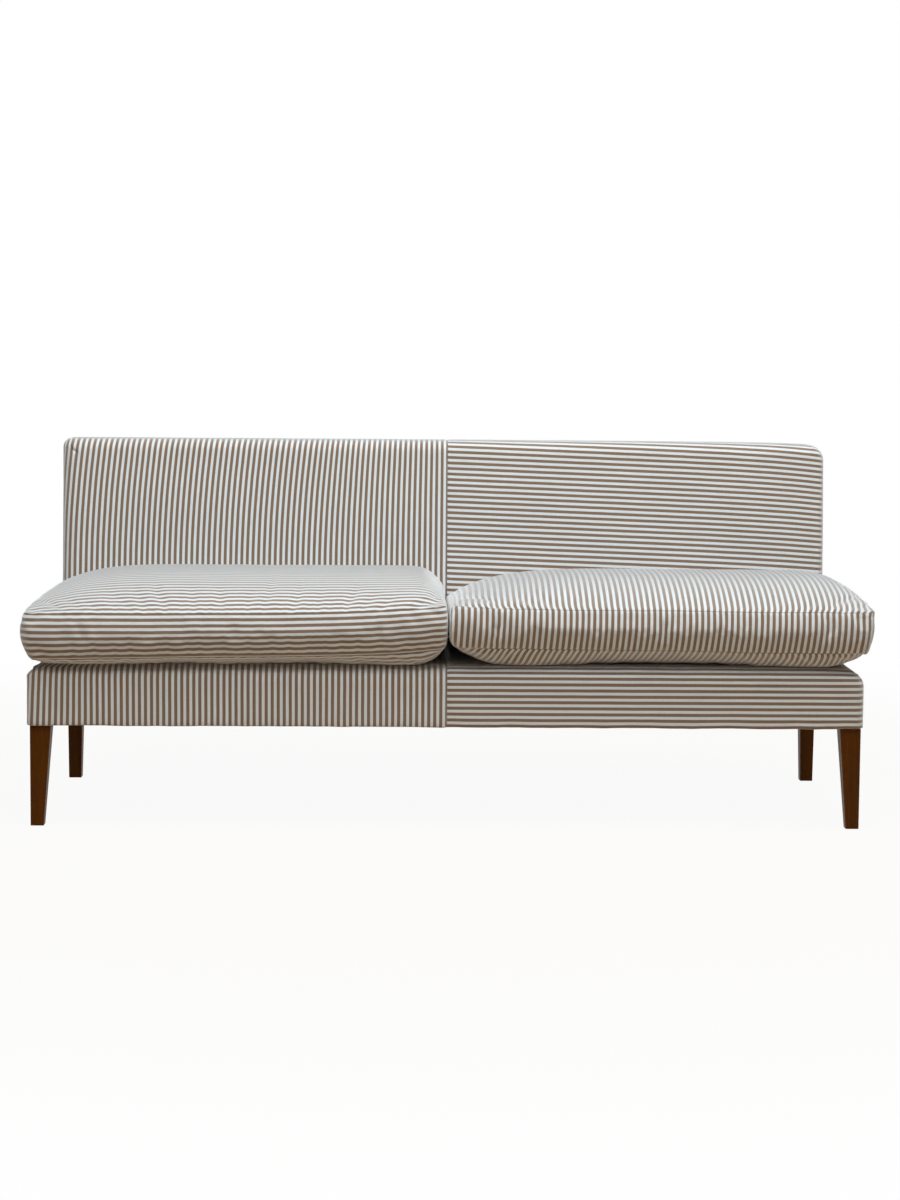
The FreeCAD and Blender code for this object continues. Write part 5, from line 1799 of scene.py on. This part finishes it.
class BANQUETTE_OT_zips(BanquetteOperator):
    """Makes the zips in the rear of the cushions: tapes, teeth, topstitching and sliders"""

    bl_idname = "banquette.zips"
    bl_label = "Zips"

    def execute(self, context):
        scene = context.scene
        for side in SIDES:
            low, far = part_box(side + "_cushion_zip")
            self.tape(scene, side, low, far)
            self.teeth(scene, side, low, far)
            self.slider(scene, side)
        return {"FINISHED"}

    def tape(self, scene, side, low, far):
        """Two narrow tapes showing in the channel, with a fold at each end."""
        middle = (low.z + far.z) / 2
        inset = 8 * MM
        across = np.linspace(low.x + inset, far.x - inset, 75)
        heights = middle + np.array([-6.5, -4, -1.2, -0.4, 0.4, 1.2, 4, 6.5]) * MM
        depths = low.y + np.array([-0.5, 0.1, 0.5, 0.2, 0.2, 0.5, 0.1, -0.5]) * MM

        def spot(row, place):
            return place, depths[row] + 0.1 * MM * ripple(place / 0.05, row, seed=81), heights[row]

        points = grid_of(range(len(heights)), across, spot)
        panels = [Panel(points, points[..., [0, 2]], 1.0)]
        name = side + "_zip_tape"
        node = side + "_cushion_zip"
        piece = add_sewn(scene, name, panels, (0, -1, middle), "zip_tape", side + "_cushion", node)
        thicken(piece, 0.5 * MM)

    def teeth(self, scene, side, low, far):
        """Two rows of teeth that close on each other, and topstitching above and below them."""
        middle = (low.z + far.z) / 2
        depth = low.y + 1.7 * MM
        inset = 12 * MM
        half_gap = 0.9 * MM
        half_pitch = 1.1 * MM
        stitch_offset = 11 * MM
        start = low.x + inset
        stop = far.x - inset
        body = side + "_cushion"
        rows = []
        for offset, shift in ((half_gap, 0.0), (-half_gap, half_pitch)):
            rows.append([(start + shift, depth, middle + offset), (stop, depth, middle + offset)])
        sizes = {
            "Spacing": 2 * half_pitch,
            "Length": 1.25 * MM,
            "Width": 1.9 * MM,
            "Height": 2.6 * MM,
            "Sway": 0.0,
        }
        repeat_along(scene, side + "_zip_teeth", rows, BLOCK, sizes, "zip_tape", body)
        sewn = far.y - 2.6 * MM
        lines = []
        for offset in (-stitch_offset, stitch_offset):
            lines.append([(start, sewn, middle + offset), (stop, sewn, middle + offset)])
        sizes = {"Spacing": 3.4 * MM, "Length": 2.6 * MM, "Width": 0.6 * MM, "Height": 0.6 * MM, "Sway": 0.06}
        repeat_along(scene, side + "_zip_topstitch", lines, BEAD, sizes, "sewing_thread", body)

    def slider(self, scene, side):
        """A slider with its bridge and a hanging pull tab."""
        low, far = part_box(side + "_zip_slider")
        middle = (low + far) / 2
        mesh = bmesh.new()
        plate = ((0, -0.5, 0), ((far.x - low.x) / MM, 1.3, (far.z - low.z) / MM), 0.6)
        bridge = ((0, 0.9, 0.6), (7.0, 1.4, 2.6), 0.25)
        tab = ((0, 1.6, -8.5), (5.2, 0.9, 15.0), 0.2)
        for place, lengths, rounding in (plate, bridge, tab):
            extent = [length * MM for length in lengths]
            spot = middle + Vector(place) * MM
            shaped = Matrix.Translation(spot) @ Matrix.Diagonal((*extent, 1))
            made = bmesh.ops.create_cube(mesh, size=1, matrix=shaped)
            edges = list({edge for vertex in made["verts"] for edge in vertex.link_edges})
            bmesh.ops.bevel(mesh, geom=edges, offset=rounding * MM, segments=3, profile=0.5, affect="EDGES")
        name = side + "_zip_pull"
        data = bpy.data.meshes.new(name)
        mesh.to_mesh(data)
        mesh.free()
        data.shade_smooth()
        add_piece(scene, name, data, "zip_metal", side + "_zip_slider", [side + "_zip_slider"])


class BANQUETTE_OT_stage(BanquetteOperator):
    """Sets up the floor, the soft light and the camera"""

    bl_idname = "banquette.stage"
    bl_label = "Floor, light and camera"

    # Where each lamp is, what it points at, its width and height, and its power
    lamps = {
        "overhead": ((0.2, -1.25, 3.3), (0.0, -0.4, 0.3), (5.0, 2.4), 170),
        "rear": ((0.6, 4.6, 2.2), (0, 0.3, 0.5), (4.0, 2.0), 70),
        "window": ((2.4, -3.6, 3.7), (0, 0, 0.5), (2.4, 2.2), 19),
    }

    # The colour that the floor throws back at the object; the camera sees it almost white
    floor_colour = (0.50, 0.38, 0.27, 1)

    def execute(self, context):
        scene = context.scene
        scene.view_settings.view_transform = "Standard"
        self.floor(scene)
        self.world(scene)
        for name, (spot, target, size, power) in self.lamps.items():
            self.lamp(scene, name, spot, target, size, power)
        self.camera(scene)
        return {"FINISHED"}

    def seen_directly(self, net):
        """1 for what the camera sees straight on, in a reflection or through glass."""
        path = net.tree.nodes.new("ShaderNodeLightPath")
        straight = Value(net, path.outputs["Is Camera Ray"])
        reflected = Value(net, path.outputs["Is Glossy Ray"])
        through = Value(net, path.outputs["Is Transmission Ray"])
        return straight + reflected + through

    def floor(self, scene):
        """A pale floor that fades into the white background and keeps the shadow."""
        mesh = bmesh.new()
        bmesh.ops.create_grid(mesh, x_segments=1, y_segments=1, size=14)
        data = bpy.data.meshes.new("floor")
        mesh.to_mesh(data)
        mesh.free()
        floor = bpy.data.objects.new("floor", data)
        scene.collection.objects.link(floor)
        finish = Finish("floor", specular_ior_level=0.0)
        away = finish.node("ShaderNodeVectorMath", {"operation": "LENGTH"}, {0: finish.spot()}, 1)
        far_off = finish.step(away, 1.3, 3.2)
        finish.feed(finish.shader.inputs["Base Color"], self.floor_colour)
        finish.feed(finish.shader.inputs["Roughness"], 0.9)
        glow = finish.node("ShaderNodeEmission", {}, {"Color": (1, 1, 1, 1), "Strength": 1.0})
        share = self.seen_directly(finish) * (0.94 + 0.06 * far_off)
        surface = Value(finish, finish.shader.outputs[0])
        mixed = finish.node("ShaderNodeMixShader", {}, {0: share, 1: surface, 2: glow})
        finish.feed(finish.tree.nodes["Material Output"].inputs["Surface"], mixed)
        data.materials.append(finish.material)

    def world(self, scene):
        """Even light from all round, and white where the camera looks past the floor."""
        world = bpy.data.worlds.new("studio")
        scene.world = world
        world.use_nodes = True
        net = Net(world.node_tree)
        background = world.node_tree.nodes["Background"]
        background.inputs["Color"].default_value = (1, 1, 1, 1)
        ambient = 0.025
        net.feed(background.inputs["Strength"], ambient + (1 - ambient) * self.seen_directly(net))

    def lamp(self, scene, name, spot, target, size, power):
        """A large soft lamp."""
        data = bpy.data.lights.new(name, "AREA")
        data.shape = "RECTANGLE"
        data.size, data.size_y = size
        data.energy = power
        data.color = (0.95, 0.985, 1.0)
        lamp = bpy.data.objects.new(name, data)
        lamp.location = spot
        lamp.rotation_euler = (Vector(target) - Vector(spot)).to_track_quat("-Z", "Y").to_euler()
        scene.collection.objects.link(lamp)

    def camera(self, scene):
        """A camera a little to the left of the middle and higher than the back, tipped down."""
        data = bpy.data.cameras.new("camera")
        data.sensor_width = 36
        data.lens = 75.24
        camera = bpy.data.objects.new("camera", data)
        spot = Matrix.Translation((-0.093, -5.6525, 1.005))
        turn = Matrix.Rotation(math.radians(-1.054), 4, "Z")
        tip = Matrix.Rotation(math.radians(90 - 5.48), 4, "X")
        roll = Matrix.Rotation(math.radians(0.44), 4, "Z")
        camera.matrix_world = spot @ turn @ tip @ roll
        scene.collection.objects.link(camera)
        scene.camera = camera


PIECES = (
    BANQUETTE_OT_frame,
    BANQUETTE_OT_padding,
    BANQUETTE_OT_seat,
    BANQUETTE_OT_back,
    BANQUETTE_OT_outside_back,
    BANQUETTE_OT_dust_cover,
    BANQUETTE_OT_cushions,
    BANQUETTE_OT_zips,
    BANQUETTE_OT_stage,
)


class BANQUETTE_PT_panel(bpy.types.Panel):
    """The banquette's sizes, colours and pieces"""

    bl_idname = "BANQUETTE_PT_panel"
    bl_label = "Ticking banquette"
    bl_space_type = "VIEW_3D"
    bl_region_type = "UI"
    bl_category = "Banquette"

    def draw(self, context):
        for group in (context.scene.banquette_sizes, context.scene.banquette_colours):
            box = self.layout.box()
            for name in group.__annotations__:
                box.prop(group, name)
        for piece in PIECES:
            self.layout.operator(piece.bl_idname)


CLASSES = (BanquetteSizes, BanquetteColours, *PIECES, BANQUETTE_PT_panel)


def register():
    """Adds the classes and the scene's properties."""
    for kind in CLASSES:
        bpy.utils.register_class(kind)
    bpy.types.Scene.banquette_sizes = PointerProperty(type=BanquetteSizes)
    bpy.types.Scene.banquette_colours = PointerProperty(type=BanquetteColours)


def unregister():
    """Takes the properties and the classes away again."""
    del bpy.types.Scene.banquette_colours
    del bpy.types.Scene.banquette_sizes
    for kind in reversed(CLASSES):
        bpy.utils.unregister_class(kind)


def main():
    """Makes every piece in order."""
    register()
    for piece in PIECES:
        group, name = piece.bl_idname.split(".")
        getattr(getattr(bpy.ops, group), name)()


if __name__ == "__main__":
    main()
